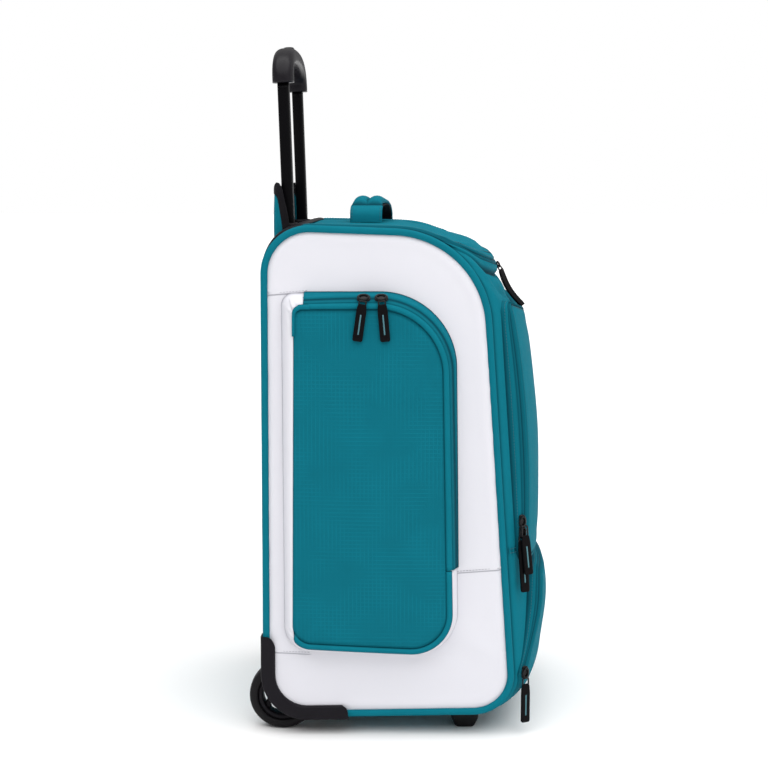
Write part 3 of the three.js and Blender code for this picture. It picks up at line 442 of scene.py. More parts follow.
# outline place s of a point of the top at x, y: on the front top arc, the straight behind it or the back arc
def topS(x, y):
    corners = bodyCorners(y)
    centre, r, first, turn = cornerArc(corners, 2)
    backCentre, backR, backFirst, backTurn = cornerArc(corners, 3)
    f = (np.arccos(np.clip((x - centre[..., 0]) / r, -1, 1)) - first) / turn
    arcEnd = centre[..., 0] + r * np.cos(first + turn)
    runEnd = backCentre[..., 0] + backR * np.cos(backFirst)
    behind = (np.arccos(np.clip((x - backCentre[..., 0]) / backR, -1, 1)) - backFirst) / backTurn
    flat = 5 + np.clip((arcEnd - x) / (arcEnd - runEnd), 0, 1)
    return np.where(f <= 1, 4 + f, np.where(x < runEnd, 6 + behind, flat))


# x of the front of the body at y, z: the lower arc, the straight or the upper arc
def frontX(y, z):
    corners = bodyCorners(y)
    (lowC, lowR, lowA, lowT), (topC, topR, topA, _) = cornerArc(corners, 1), cornerArc(corners, 2)
    end, start = lowA + lowT, topA
    lowX, lowZ = lowC[..., 0] + lowR * np.cos(end), lowC[..., 1] + lowR * np.sin(end)
    topX, topZ = topC[..., 0] + topR * np.cos(start), topC[..., 1] + topR * np.sin(start)
    arc = lambda c, r: c[..., 0] + np.sqrt(np.maximum(r ** 2 - (z - c[..., 1]) ** 2, 0))
    straight = lowX + (topX - lowX) * (z - lowZ) / (topZ - lowZ)
    return np.where(z < lowZ, arc(lowC, lowR), np.where(z > topZ, arc(topC, topR), straight))


# places across the bag, closer together near the piping
def acrossY(half, count):
    return half * np.sin(np.linspace(-np.pi / 2, np.pi / 2, count))


# corners of the edge's outline drawn in by inset: both straights at a corner are moved along their normals
def edgeCorners(inset):
    c = bodyShape["edge"]
    out = []
    for i in range(4):
        a, b, d = c[i - 1, :2], c[i, :2], c[(i + 1) % 4, :2]
        n1, n2 = unit(np.array([a[1] - b[1], b[0] - a[0]])), unit(np.array([b[1] - d[1], d[0] - b[0]]))
        p = b + (n1 + n2) * inset / (1 + n1 @ n2)
        out.append((p[0], p[1], c[i, 2] - inset))
    return np.array(out)


# white side panels: rows of height, each from the back to the front of the inset outline; they swell by
# (1-u^2)(1-v^2), step down along the sewn seams and carry soft creases under the pocket and beside it
sidePanel = {
    "inset": 7.4, "y": 161.25, "bulge": 7.0, "middle": (-12, 308), "half": (142, 284),
    "rows": 80, "across": 72, "seamRows": 26,
    "seams": [((-153, 518.0), (-108, 521.2)), ((-153, 99), (-106, 97.8)), ((57, 196.5), (116, 200.6))],
}


# how far out the swollen panel lies at x, z
def panelFace(x, z):
    (mx, mz), (hx, hz) = sidePanel["middle"], sidePanel["half"]
    u, v = np.clip((x - mx) / hx, -1, 1), np.clip((z - mz) / hz, -1, 1)
    return sidePanel["y"] + sidePanel["bulge"] * (1 - u * u) * (1 - v * v)


# how far points (x, z) lie above a short seam, and a fade that is one along it and nothing past its ends
def seamHeight(x, z, ends):
    (ax, az), (bx, bz) = ends
    fade = ease(x, ax - 3, ax + 3) * (1 - ease(x, bx - 3, bx + 3))
    return z - az - (x - ax) * (bz - az) / (bx - ax), fade


def buildSidePanels():
    look = sidePanel
    rim, _ = outlineAt(np.linspace(0, 8, 4000, endpoint=False), edgeCorners(look["inset"]))
    rim = np.roll(rim, -np.argmin(rim[:, 1]), 0)
    top = np.argmax(rim[:, 1])
    front, back = rim[:top + 1], np.concatenate([rim[top:], rim[:1]])[::-1]
    low, high = rim[0, 1], rim[top, 1]
    z = low + (high - low) * (1 - np.cos(np.pi * np.linspace(0, 1, look["rows"]))) / 2
    seamRows = [np.linspace(min(a[1], b[1]) - 4, max(a[1], b[1]) + 5, look["seamRows"])
                for a, b in look["seams"]]
    z = np.unique(np.concatenate([z] + seamRows).round(3))[:, None]
    xBack, xFront = np.interp(z, back[:, 1], back[:, 0]), np.interp(z, front[:, 1], front[:, 0])
    x = xBack + (xFront - xBack) * (1 - np.cos(np.pi * np.linspace(0, 1, look["across"])))[None, :] / 2
    z = z + 0 * x
    edge = np.min(np.hypot(x[..., None] - rim[::5, 0], z[..., None] - rim[::5, 1]), -1)
    lift = -1.4 * bell(edge, 3.0) + 0.5 * bell(edge - 9, 5)
    # painted shade along the piping and in each seam's groove
    tone = 0.35 * bell(edge, 1.4)
    for ends in look["seams"]:
        d, fade = seamHeight(x, z, ends)
        lift = lift + fade * (0.5 * ease(d, -0.5, 0.5) * (1 - ease(d, 6, 14)) - 0.5 * bell(d + 0.5, 0.8))
        tone = tone + 0.95 * fade * bell(d + 0.4, 0.75)
    lift += 0.45 * np.sin(x / 31 + z / 83) * np.sin(z / 67 - x / 90) * ease(edge, 4, 30)
    lift += -0.9 * bell(z - 90 - 0.0006 * (x + 30) ** 2, 5) * ease(x, -118, -90) * (1 - ease(x, 30, 75))
    lift += 0.9 * bell((x - 78) * 0.6 + (z - 120) * 0.8, 8) * bell(x - 78, 45)
    lift -= 0.6 * bell((x - 60) * 0.6 + (z - 105) * 0.8, 7) * bell(x - 62, 30)
    y = -(panelFace(x, z) + lift)
    grid = sheetPart(np.stack([x, y, z], -1), np.stack([x, z], -1), tone=np.clip(tone, 0, 1))
    makePair("side_panel_cloth", [grid], whiteCloth, ["side_panel"], outFrom=bodyShape["centre"],
             slot="white_cloth", wall=2.0, cut=(300, 575), on=["piping_cord"])
    rows = []
    for (ax, az), (bx, bz) in look["seams"]:
        t = np.linspace(0, 1, 40)
        px, pz = ax + (bx - ax) * t, az + (bz - az) * t + 2.1
        rows.append(stitchPart(np.stack([px, -(panelFace(px, pz) + 0.45), pz], -1), (0, -1, 0), radius=0.3))
    makePair("side_panel_stitches", rows, greyThread, slot="white_cloth")


# piping: a cord covered in cloth, a flattened circle carried round the edge of the side panel
piping = {"radius": 4.1, "y": 160.0, "inset": 4.0, "around": 340, "sides": 18}


def buildPiping():
    s = np.linspace(0, 8, piping["around"])
    place, out = outlineAt(s, edgeCorners(piping["inset"]))
    a, b = superLoop(piping["sides"], 0.85)
    wobble = 0.05 * np.sin(s * 37.0) * np.sin(s * 11.3)
    r = piping["radius"]
    x = place[:, :1] + out[:, :1] * (a * r + wobble[:, None])
    z = place[:, 1:] + out[:, 1:] * (a * r + wobble[:, None])
    y = -piping["y"] + b * r + 0 * x
    makePair("piping_cord", [sheetPart(np.stack([x, y, z], -1))], tealCloth, ["piping"], slot="teal_cloth")


# back and base: strips of the body's skin between two outline places; the back narrows beside the wheels
backBase = {"backTop": 6.95, "wheelTop": 7.9, "backEnd": 9.23, "baseEnd": 10.35, "narrow": 112.5}


def buildBackAndBase():
    look, half = backBase, bodyShape["halfWidth"]
    s1 = np.linspace(look["backTop"], look["wheelTop"], 60)[:, None]
    s2 = np.linspace(look["wheelTop"], look["backEnd"], 40)[:, None]
    wide, slim = acrossY(half, 81)[None, :], acrossY(look["narrow"], 61)[None, :]
    softY = lambda y, s: 0.6 * np.sin(y / 41) * np.sin(s * 19) + 0.4 * np.sin(y / 17 + s * 7)
    upper = bodyAt(s1 + 0 * wide, wide + 0 * s1, softY(wide, s1) - 1.2 * bell(np.abs(wide) - half, 4))
    lower = bodyAt(s2 + 0 * slim, slim + 0 * s2, 0.5 * softY(slim, s2))
    makePiece("back_panel_cloth", [sheetPart(upper), sheetPart(lower)], tealCloth, replaces=["back_panel"],
              slot="teal_cloth", wall=2.2, outFrom=bodyShape["centre"], cut=(314, 610),
              on=["handle_housing_shell"])
    s3 = np.linspace(look["backEnd"] + 0.004, look["baseEnd"], 40)[:, None]
    base = bodyAt(s3 + 0 * wide, wide + 0 * s3, 0.5 * softY(wide, s3) - 1.0 * bell(np.abs(wide) - half, 4))
    makePiece("base_panel_cloth", [sheetPart(base)], tealCloth, replaces=["base_panel"], slot="teal_cloth",
              wall=2.2, outFrom=bodyShape["centre"], cut=(320, 205),
              on=["foot_block_right", "foot_block_left"])
    rows = []
    for side in (-1, 1):
        for y in (side * 146, side * 141):
            s = np.linspace(look["backTop"] + 0.02, look["wheelTop"] - 0.02, 120)
            rows.append(stitchPart(bodyAt(s, y + 0 * s, softY(y, s) + 0.2), (-1, 0, 0)))
    makePiece("back_panel_stitches", rows, tealThread, slot="teal_cloth")


# the lid's outline from above: straight sides that round into a tongue, a superellipse
lidShape = {
    "halfWidth": 155.4, "tongueX": 38.0, "frontX": 115.1, "power": 2.4, "backX": -109.0, "sideBack": 8.0,
    "zip": 5.6, "squeeze": 0.6,
    # how far the lid lies off the round of the body along its middle, as x, lift:
    # a hollow crown, a welt and a steep lip
    "sink": [(-112, -3.6), (-60, -4.0), (-11, -4.7), (10, -8.6), (33, -11.4), (52, -11.8), (69, -8.8),
             (81, -5.8), (90, -4.4), (97, -5.0), (101.5, -4.0), (104.8, -0.9), (107.4, -0.6), (110.8, -1.9),
             (113.4, -1.5), (115.1, -2.0), (118, -6.0)],
}


# x of the tongue's front edge at y
def tongueX(y):
    reach, power = lidShape["frontX"] - lidShape["tongueX"], lidShape["power"]
    t = np.clip(np.abs(y) / lidShape["halfWidth"], 0, 1)
    return lidShape["tongueX"] + reach * (1 - t ** power) ** (1 / power)


# x of the lid's back edge, which reaches further back at the sides, by the sixth power of y
def lidBack(y):
    return lidShape["backX"] - lidShape["sideBack"] * (np.abs(y) / lidShape["halfWidth"]) ** 6


# points of the outline drawn in by d (rows, 1), right side first, round the tongue and back along the left
def lidPlan(d, straight=36, bend=50):
    look = lidShape
    a = np.linspace(0, np.pi / 2, bend)
    k = 2 / look["power"]
    reach, half = look["frontX"] - look["tongueX"] - d * look["squeeze"], look["halfWidth"] - d
    bx, by = look["tongueX"] + reach * np.sin(a) ** k, -half * np.clip(np.cos(a), 0, 1) ** k
    sx = lidBack(half) + (look["tongueX"] - lidBack(half)) * np.linspace(0, 1, straight)[:-1]
    x, y = np.concatenate([sx, bx], 1), np.concatenate([-half + 0 * sx, by], 1)
    return np.concatenate([x, x[:, -2::-1]], 1), np.concatenate([y, -y[:, -2::-1]], 1)


# lift of the lid off the round of the body: the middle's table, moved with the tongue's edge, fading out
# at the sides
def lidSink(x, y):
    at, lift = np.array(lidShape["sink"]).T
    inner = 1 - ease(np.abs(y), 128, 154)
    shift = lidShape["frontX"] - tongueX(y)
    return np.interp(x + shift * ease(x + shift, 78, 98), at, lift) * inner


def buildLid():
    look = lidShape
    d = np.concatenate([np.linspace(look["zip"], 26, 34), np.linspace(27.5, 84, 14)])[:, None]
    x, y = lidPlan(d)
    draw = np.linspace(0.94, 0, 10)[:, None]
    x, y = np.concatenate([x, x[-1:] + 0 * draw]), np.concatenate([y, y[-1:] * draw])
    f = np.concatenate([d, 84 + 70 * (1 - draw)]) - look["zip"]
    lift = lidSink(x, y) - 0.9 + 2.3 * ease(f, 0, 2.2) - 1.5 * bell(f - 10.5, 1.0) + 1.3 * ease(f, 10.5, 24)
    lift += 0.35 * np.sin(x / 19 + y / 43) * ease(f, 14, 40)
    lift -= 0.6 * (1 - ease(x - lidBack(y), 0, 9))
    # painted shade in the welt's groove and along the zip's edge
    tone = np.clip(bell(f - 10.5, 1.7) + bell(f, 1.5), 0, 1)
    grid = sheetPart(bodyAt(topS(x, y), y, lift), np.stack([x, y], -1), tone=tone)
    makePiece("lid_cloth", [grid], tealCloth, replaces=["lid"], slot="teal_cloth", wall=2.5,
              outFrom=bodyShape["centre"], cut=(325, 260), on=["handle_housing_shell"])
    rows = []
    for inset, up in ((look["zip"] + 3.0, 0.0), (look["zip"] + 13.0, 0.4)):
        px, py = (v[0] for v in lidPlan(np.array([[inset]])))
        raised = lidSink(px, py) + 1.5 + up
        path = bodyAt(topS(px, py), py, raised)
        rows.append(stitchPart(path, unit(bodyAt(topS(px, py), py, raised + 1) - path), radius=0.38))
    makePiece("lid_stitches", rows, tealThread, slot="teal_cloth")
    # the zip round the lid: two ribs of coil with a dark line between them
    w = np.linspace(0, 1, 15)[:, None] * look["zip"]
    x, y = lidPlan(w)
    lift = lidSink(x, y) - 0.8 + ribHeight(w, look["zip"])
    grid = sheetPart(bodyAt(topS(x, y), y, lift), tone=ribShade(w, look["zip"]))
    makePiece("lid_zip_coil", [grid], tealTape, replaces=["lid_zip"], slot="teal_zip", wall=1.2,
              outFrom=bodyShape["centre"])


# height and painted shade across a closed zip of a width: two round ribs, with painted shade in a line
# between them and at each edge
def ribHeight(w, width):
    return 1.1 * bell(w - width * 0.3, 0.75) + 1.1 * bell(w - width * 0.7, 0.75)


def ribShade(w, width):
    return np.clip(0.9 * bell(w - width / 2, 0.6) + bell(w, 1.3) + bell(w - width, 1.3), 0, 1)


# front panel: columns of the body's skin from the base up to the lid; below the lid it has a rolled band,
# a deep groove, and then slanting soft folds in its neck
frontPanel = {
    "bottom": 2.352, "band": 8.4, "seamZ": 220.5,
    # lift off the round of the body along its middle, as distance below the lid's edge, lift
    "neck": [(0, -2.6), (1.2, -2.4), (4.2, -3.8), (7.0, -5.6), (8.4, -8.2), (9.6, -12.2), (11, -12.4),
             (14, -10.8), (18, -9.4), (26, -8.2), (33, -7.6), (41, -8.0), (47, -7.2), (54, -4.0), (63, 0)],
}


def buildFrontPanel():
    y = acrossY(bodyShape["halfWidth"], 91)[None, :]
    top = topS(np.maximum(tongueX(y), 46.0), y)
    v = np.concatenate([np.linspace(0, 0.88, 100), np.linspace(0.88, 1, 60)[1:]])[:, None]
    s = frontPanel["bottom"] + (top - frontPanel["bottom"]) * v
    bare = bodyAt(s, y + 0 * s)
    step = np.linalg.norm(np.diff(bare, axis=0), axis=-1)
    e = np.cumsum(np.concatenate([0 * step[:1], step[::-1]]), axis=0)[::-1]
    band = frontPanel["band"]
    near = 1 - ease(np.abs(y), 120, 153)
    at, deep = np.array(frontPanel["neck"]).T
    sewn = 1.3 * ease(e, 0, 1.4) * (1 - ease(e, band - 2, band)) - 1.2 * bell(e - band - 1, 1.7)
    lift = near * np.interp(e, at, deep) + (1 - near) * sewn
    slant = np.sin((np.abs(y) * 0.55 + e * 0.9) * 2 * np.pi / 34)
    fold = slant * bell(np.abs(y) - 105, 46) * ease(e, 12, 22) * (1 - ease(e, 60, 105))
    lift += 1.3 * fold + 0.4 * np.sin(y / 23) * np.sin(bare[..., 2] / 37)
    z = bare[..., 2]
    lift += -0.8 * bell(z - frontPanel["seamZ"], 1.6) - 1.0 * bell(np.abs(y) - bodyShape["halfWidth"], 3)
    # painted shade under the lid's edge, in the band's groove, in the seam across the front and along the
    # piping
    tone = bell(e, 1.0) + bell(e - band - 1.4, 1.8) + 0.9 * bell(z - frontPanel["seamZ"], 1.5)
    tone = np.clip(tone + 0.7 * bell(bodyShape["halfWidth"] - np.abs(y), 1.1), 0, 1)
    grid = sheetPart(bodyAt(s, y + 0 * s, lift), np.stack([y + 0 * s, e], -1), tone=tone)
    makePiece("front_panel_cloth", [grid], tealCloth, replaces=["front_panel"], slot="teal_cloth", wall=2.5,
              outFrom=bodyShape["centre"], cut=(350, 560), on=["base_panel_cloth"])
    rows = []
    yy = np.linspace(-154, 154, 220)
    for drop in (-2.4, 2.4):
        zz = frontPanel["seamZ"] + drop + 0 * yy
        rows.append(stitchPart(np.stack([frontX(yy, zz) + 0.2, yy, zz], -1), (1, 0, 0)))
    makePiece("front_panel_stitches", rows, tealThread, slot="teal_cloth")


# zipped pockets on the front: a rounded outline, its corners given up one side as y, z, radius, is drawn in
# from foot to face edge while it rises, and then to its middle; the top may sag in the middle, by a parabola;
# rise is a quartic in height; outside the face edge lie a roll, the zip between two lips, and a seam
frontPockets = [
    {"name": "upper", "corners": [(146, 197, 26), (146, 514, 17)], "inset": 11.0, "zipEnd": 222,
     "sunk": 6.5, "boxy": 3.2, "sag": 18.0, "square": 0.6, "cut": (318, 350),
     "rise": [(0, 5), (0.2, 12.5), (0.5, 17), (0.8, 13.6), (1, 6)]},
    {"name": "lower", "corners": [(150, 38, 14), (154, 76, 26), (108, 190, 46)], "inset": 10.5, "zipEnd": 72,
     "sunk": 0.0, "boxy": 0.0, "sag": 0.0, "square": 0.0, "cut": (330, 200),
     "rise": [(0, 1.5), (0.27, 2.8), (0.38, 5.4), (0.49, 9.7), (0.605, 12.9), (0.717, 14.5), (0.83, 17),
              (0.94, 14), (1, 11)]},
]
pocketZip = {"at": 5.0, "width": 5.4, "inside": (0, 0, 300)}


# points of the front at y, z, standing out by h
def onFront(p, h):
    return np.stack([frontX(p[..., 0], p[..., 1]) + h, p[..., 0], p[..., 1]], -1)


# y, z of the pocket's outline drawn in by inset, less so along its top, which is then lowered by the sag
def pocketOutline(pocket, s, inset):
    side = np.array(pocket["corners"], float)
    place, out = outlineAt(s, np.concatenate([side, side[::-1] * (-1, 1, 1)]))
    step = out * np.asarray(inset)[..., None]
    step[..., 1] *= 1 - pocket["square"] * (out[..., 1] > 0)
    place = place - step
    low, top = side[0, 1], side[-1, 1]
    place[..., 1] -= pocket["sag"] * (1 - (place[..., 0] / side[-1, 0]) ** 2) * ease(place[..., 1], low, top)
    return place


# how far the pocket's face stands out at a height
def pocketRise(pocket, z):
    at, rise = np.array(pocket["rise"]).T
    bottom, top = pocket["corners"][0][1], pocket["corners"][-1][1]
    t = np.clip((z - bottom) / (top - bottom), 0, 1)
    return np.polyval(np.polyfit(at, rise, 4), t)


# height of the pocket's flank: the rise times 1-(1-inset share)^power, with a higher power along the top
def pocketFlank(pocket, z, inset):
    top = pocket["corners"][-1][1]
    power = 2.3 + pocket["boxy"] * ease(z, top - 30, top - 6)
    return pocketRise(pocket, z) * 0.95 * (1 - (1 - np.clip(inset / pocket["inset"], 0, 1)) ** power)


def buildFrontPockets():
    for pocket in frontPockets:
        turns, bottom, top = 4 * len(pocket["corners"]), pocket["corners"][0][1], pocket["corners"][-1][1]
        s = np.linspace(0, turns, 241)[None, :]
        i = np.linspace(0, pocket["inset"], 32)[:, None]
        p = pocketOutline(pocket, s + 0 * i, i + 0 * s)
        o = pocket["inset"] - i
        zipped = ease(p[..., 1], pocket["zipEnd"] - 1, pocket["zipEnd"] + 1)
        foot = 0.8 + pocket["sunk"] * ease(p[..., 1], top - 30, top - 6)
        h = pocketFlank(pocket, p[..., 1], i) - foot * (1 - ease(i, 0, 2))
        lips = bell(o - 1.9, 0.9) + bell(o - 8.2, 0.9) - 1.2 * bell(o - pocketZip["at"], 2.0)
        flank = h + lips * zipped - 0.9 * bell(o, 0.7)
        # painted shade at the pocket's foot, round the face's edge and in the zip channel
        flankShade = np.clip(bell(o, 1.2) + bell(i, 1.5) + zipped * bell(o - pocketZip["at"], 2.4), 0, 1)
        scale = 1 - np.linspace(0, 1, 30)[:, None] ** 1.35
        edge = p[-1]
        middle = np.array([0, (bottom + top) / 2])
        q = middle + (edge[None] - middle) * scale[..., None]
        inner = (1 - scale) * 120
        face = pocketRise(pocket, q[..., 1]) * (0.95 + 0.05 * ease(inner, 0, 30))
        face += 0.7 * bell(inner - 6, 5) - 0.9 * bell(inner, 0.7)
        face += 0.5 * np.sin(q[..., 0] / 27 + q[..., 1] / 51) * np.sin(q[..., 1] / 33) * ease(inner, 4, 30)
        faceShade = bell(inner, 1.2)
        yz = np.concatenate([p, q[1:]])
        rise = np.concatenate([flank, face[1:]])
        tone = np.concatenate([flankShade, np.broadcast_to(faceShade, face.shape)[1:]])
        name, inside = pocket["name"], pocketZip["inside"]
        makePiece("front_pocket_" + name + "_cloth", [sheetPart(onFront(yz, rise), yz, tone=tone)], tealCloth,
                  replaces=["front_pocket_" + name], slot="teal_cloth", wall=1.8, outFrom=inside,
                  cut=pocket["cut"], on=["front_panel_cloth"])
        # its zip: two ribs laid in the channel, from one end over the top to the other
        run = np.linspace(0, turns, 1200)
        high = pocketOutline(pocket, run, 0 * run)[:, 1] > pocket["zipEnd"]
        run = np.linspace(run[high][0], run[high][-1], 240)[None, :]
        width = pocketZip["width"]
        w = np.linspace(0, width, 15)[:, None]
        depth = pocket["inset"] - pocketZip["at"] + width / 2 - w
        p = pocketOutline(pocket, run + 0 * w, depth + 0 * run)
        h = pocketFlank(pocket, p[..., 1], depth) - 0.7 + ribHeight(w, width)
        grid = sheetPart(onFront(p, h), tone=ribShade(w, width) + 0 * run)
        makePiece("front_zip_" + name + "_coil", [grid], tealTape, replaces=["front_zip_" + name],
                  slot="teal_zip", wall=0.8, outFrom=inside)
        rows = []
        for inset in (1.6, pocket["inset"] + 3.0):
            line = pocketOutline(pocket, run[0], inset + 0 * run[0])
            path = onFront(line, pocketFlank(pocket, line[:, 1], inset) + 0.3)
            rows.append(stitchPart(path, (0.8, 0, 0.2), radius=0.36))
        makePiece("front_pocket_" + name + "_stitches", rows, tealThread, slot="teal_cloth")


# side pockets: the outline goes from foot to face edge while it rises as 1-(1-t)^2.4, then the face domes to
# its middle; o is the distance outside the face edge: a roll, the zip between lips, and a seam; white cloth
# takes over behind and below
sidePocket = {
    "foot": np.array([(-136, 102, 30), (67, 97, 52), (61, 521.8, 86), (-136.8, 520.8, 14)], float),
    "face": np.array([(-125, 114.6, 22), (55, 108, 42), (47, 505, 76), (-121, 504, 10)], float),
    "rise": 16.3, "dome": 3.2, "zipStart": 3.187, "zipBackX": -110.0, "zipAt": 9.8, "zipWidth": 4.8,
    "tealHem": 4.7, "inside": (-35, -100, 310),
}


# x, z at outline place s, a share of the way from face edge to foot, and the width between them
def sidePocketPoint(s, share):
    foot, _ = outlineAt(s, sidePocket["foot"])
    face, _ = outlineAt(s, sidePocket["face"])
    width = np.linalg.norm(foot - face, axis=-1)
    return face + (foot - face) * np.asarray(share)[..., None], width


# place s on the pocket's top where its zip ends, for a share of the way from face edge to foot
def zipBackS(share):
    (a, b), _ = sidePocketPoint(np.array([5.0, 5.999]), np.zeros(2))
    (c, d), _ = sidePocketPoint(np.array([5.0, 5.999]), np.ones(2))
    first, last = a[0] + (c[0] - a[0]) * share, b[0] + (d[0] - b[0]) * share
    return 5 + np.clip((sidePocket["zipBackX"] - first) / (last - first), 0, 0.999)


# how far a share of the way from face edge to foot stands off the panel
def sidePocketHeight(share):
    return sidePocket["rise"] * (1 - share ** 2.4)


# points of the right side at x, z, standing off the panel by h
def sidePocketGrid(p, h):
    return np.stack([p[..., 0], -(panelFace(p[..., 0], p[..., 1]) + h), p[..., 1]], -1)


def buildSidePockets():
    look = sidePocket
    # teal face, drawn in to its middle
    s = np.linspace(0, 8, 241)[None, :]
    edge, _ = outlineAt(s[0], look["face"])
    middle = edge[:-1].mean(0)
    scale = 1 - np.linspace(0, 1, 31)[:, None] ** 1.35
    q = middle + (edge[None] - middle) * scale[..., None]
    inner = (1 - scale) * 85
    behind = ease(-edge[None, :, 0], 116, 120) * ease(edge[None, :, 1], 115, 125)
    face = look["rise"] + look["dome"] * (1 - scale ** 2) - 1.1 * bell(inner, 0.8) * (1 - 0.5 * behind)
    soft = np.sin(q[..., 0] / 23 + q[..., 1] / 71) * np.sin(q[..., 1] / 47 - q[..., 0] / 90)
    face = face + 0.6 * bell(inner - 5, 4) + 0.45 * soft * ease(inner, 3, 20)
    # painted shade round the face's edge, weaker towards the back
    sideFaceShade = bell(inner, 0.9) * (1 - 0.7 * behind)
    parts = [sheetPart(sidePocketGrid(q, face), q, mat=1, tone=sideFaceShade)]
    # teal gusset with the zip channel over the top and down the front
    run = np.linspace(0, 1, 160)[None, :]
    k = np.linspace(0, 1, 41)[:, None]
    zs = look["zipStart"] + (zipBackS(k) - look["zipStart"]) * run
    p, width = sidePocketPoint(zs, k + 0 * zs)
    o = k * width
    off = o - look["zipAt"]
    lips = 0.9 * bell(off + 3.1, 0.8) + 0.9 * bell(off - 3.1, 0.8) - 1.2 * bell(off, 1.9)
    h = sidePocketHeight(k) + lips + 1.2 * bell(o - 2.8, 1.9) - 1.1 * bell(o, 0.7) - 0.6 * bell(o - 6.0, 0.8)
    # painted shade at the face's edge, in the zip channel, in a groove and at the foot
    tone = bell(o, 0.9) + 0.9 * bell(off, 2.0) + 0.7 * bell(o - 6.0, 0.8) + bell(width - o, 1.0)
    flat = np.stack([run * 700 + 0 * k, o], -1)
    parts.append(sheetPart(sidePocketGrid(p, h), flat, tone=np.clip(tone, 0, 1)))
    # teal hem under the face, from the zip's lower end round the bottom
    hs = np.linspace(look["zipStart"] - 3.0, look["zipStart"] - 0.004, 130)[None, :]
    hem = look["tealHem"] * ease(hs, look["zipStart"] - 3.0, look["zipStart"] - 2.6) + 0.3
    k = np.linspace(0, 1, 15)[:, None]
    _, width = sidePocketPoint(hs, 0 * hs)
    share = k * hem / width
    p, _ = sidePocketPoint(hs + 0 * k, share)
    o = k * hem
    h = sidePocketHeight(share) + 0.9 * bell(o - 2.4, 1.6) - 1.1 * bell(o, 0.7)
    # painted shade along both edges of the hem
    tone = np.clip(bell(o, 0.6) + 0.7 * bell(hem - o, 0.6), 0, 1)
    parts.append(sheetPart(sidePocketGrid(p, h), np.stack([hs * 60 + 0 * k, o], -1), tone=tone))
    # the teal roll over the face's top corner, narrowing to nothing down its back edge
    cs = np.linspace(float(zipBackS(0.0)) - 0.1, 7.06, 80)[None, :]
    hem = look["tealHem"] * (1 - 0.3 * ease(cs, 5.9, 6.4) - 0.66 * ease(cs, 6.4, 7.02)) + 0.2
    _, width = sidePocketPoint(cs, 0 * cs)
    p, _ = sidePocketPoint(cs + 0 * k, k * hem / width)
    h = sidePocketHeight(k * hem / width) + 0.3 + 1.2 * bell(k - 0.5, 0.35) - 0.9 * bell(k, 0.12)
    # painted shade along both edges of the roll
    tone = np.clip(bell(k, 0.12) + 0.8 * bell(k - 1, 0.12), 0, 1) + 0 * cs
    parts.append(sheetPart(sidePocketGrid(p, h), np.stack([cs * 60 + 0 * k, k * hem], -1), tone=tone))
    makePair("side_pocket_cloth", parts, [tealCloth, ripCloth], ["side_pocket"], slot="teal_cloth", wall=1.6,
             outFrom=look["inside"], cut=(230, 450), on=["side_panel_cloth"])
    # white gusset behind and below, puckered beside the face
    k = np.linspace(0, 1, 25)[:, None]
    begin = zipBackS(k)
    ws = begin + (8 + look["zipStart"] - begin) * np.linspace(0, 1, 330)[None, :]
    hem = look["tealHem"] * ease(ws, 8 + look["zipStart"] - 3.0, 8 + look["zipStart"] - 2.6)
    _, width = sidePocketPoint(ws, 0 * ws)
    share = hem / width + (1 - hem / width) * k
    p, _ = sidePocketPoint(ws, share)
    px, pz = p[..., 0], p[..., 1]
    tuck = bell(k - 0.25, 0.35)
    ends = bell(pz - 490, 20) + 0.8 * bell(pz - 136, 20) + 0.12
    left = ease(-px, 112, 122)
    slant = 2 * np.pi * (pz + 1.1 * px)
    pucker = (0.6 * np.sin(slant / 9.5) + 0.6 * np.sin(slant / 23 + 1)) * ends * left * tuck
    h = sidePocketHeight(share) + pucker - 0.5 * bell(k, 0.03) - 0.4 * bell(k - 1, 0.04)
    fold = bell(px + 126.5 - 0.35 * np.maximum(514 - pz, 0), 0.9)
    fold = fold * ease(pz, 500, 504) * (1 - ease(pz, 512, 516))
    # painted shade along both edges of the gusset and in a fold beside its top
    tone = np.clip(0.6 * bell(k, 0.03) + bell(k - 1, 0.08) + 0.5 * fold, 0, 1) + 0 * ws
    grid = sheetPart(sidePocketGrid(p, h), np.stack([ws * 60 + 0 * k, k * width], -1), tone=tone)
    makePair("side_pocket_gusset_cloth", [grid], whiteCloth, ["side_pocket_gusset"], slot="white_cloth",
             wall=1.6, outFrom=look["inside"], cut=(20, 760), on=["side_panel_cloth"])
    # zip
    w = np.linspace(0, look["zipWidth"], 15)[:, None]
    zs = look["zipStart"] + (zipBackS(0.58) - look["zipStart"]) * run
    _, width = sidePocketPoint(zs, 0 * zs)
    share = (look["zipAt"] - look["zipWidth"] / 2 + w) / width
    p, _ = sidePocketPoint(zs + 0 * w, share)
    h = sidePocketHeight(share) - 0.6 + ribHeight(w, look["zipWidth"])
    grid = sheetPart(sidePocketGrid(p, h), tone=ribShade(w, look["zipWidth"]) + 0 * zs)
    makePair("side_zip_coil", [grid], tealTape, ["side_zip"], slot="teal_zip", wall=0.8,
             outFrom=look["inside"])
    # stitches beside the zip
    share = (look["zipAt"] + 4.4) / width[0]
    p, _ = sidePocketPoint(zs[0], share)
    row = stitchPart(sidePocketGrid(p, sidePocketHeight(share) + 0.4), (0, -1, 0.2), radius=0.3)
    makePair("side_pocket_stitches", [row], tealThread, slot="teal_cloth")


buildSidePanels()
buildPiping()
buildBackAndBase()
buildLid()
buildFrontPanel()
buildFrontPockets()
buildSidePockets()
print("cloth body made")


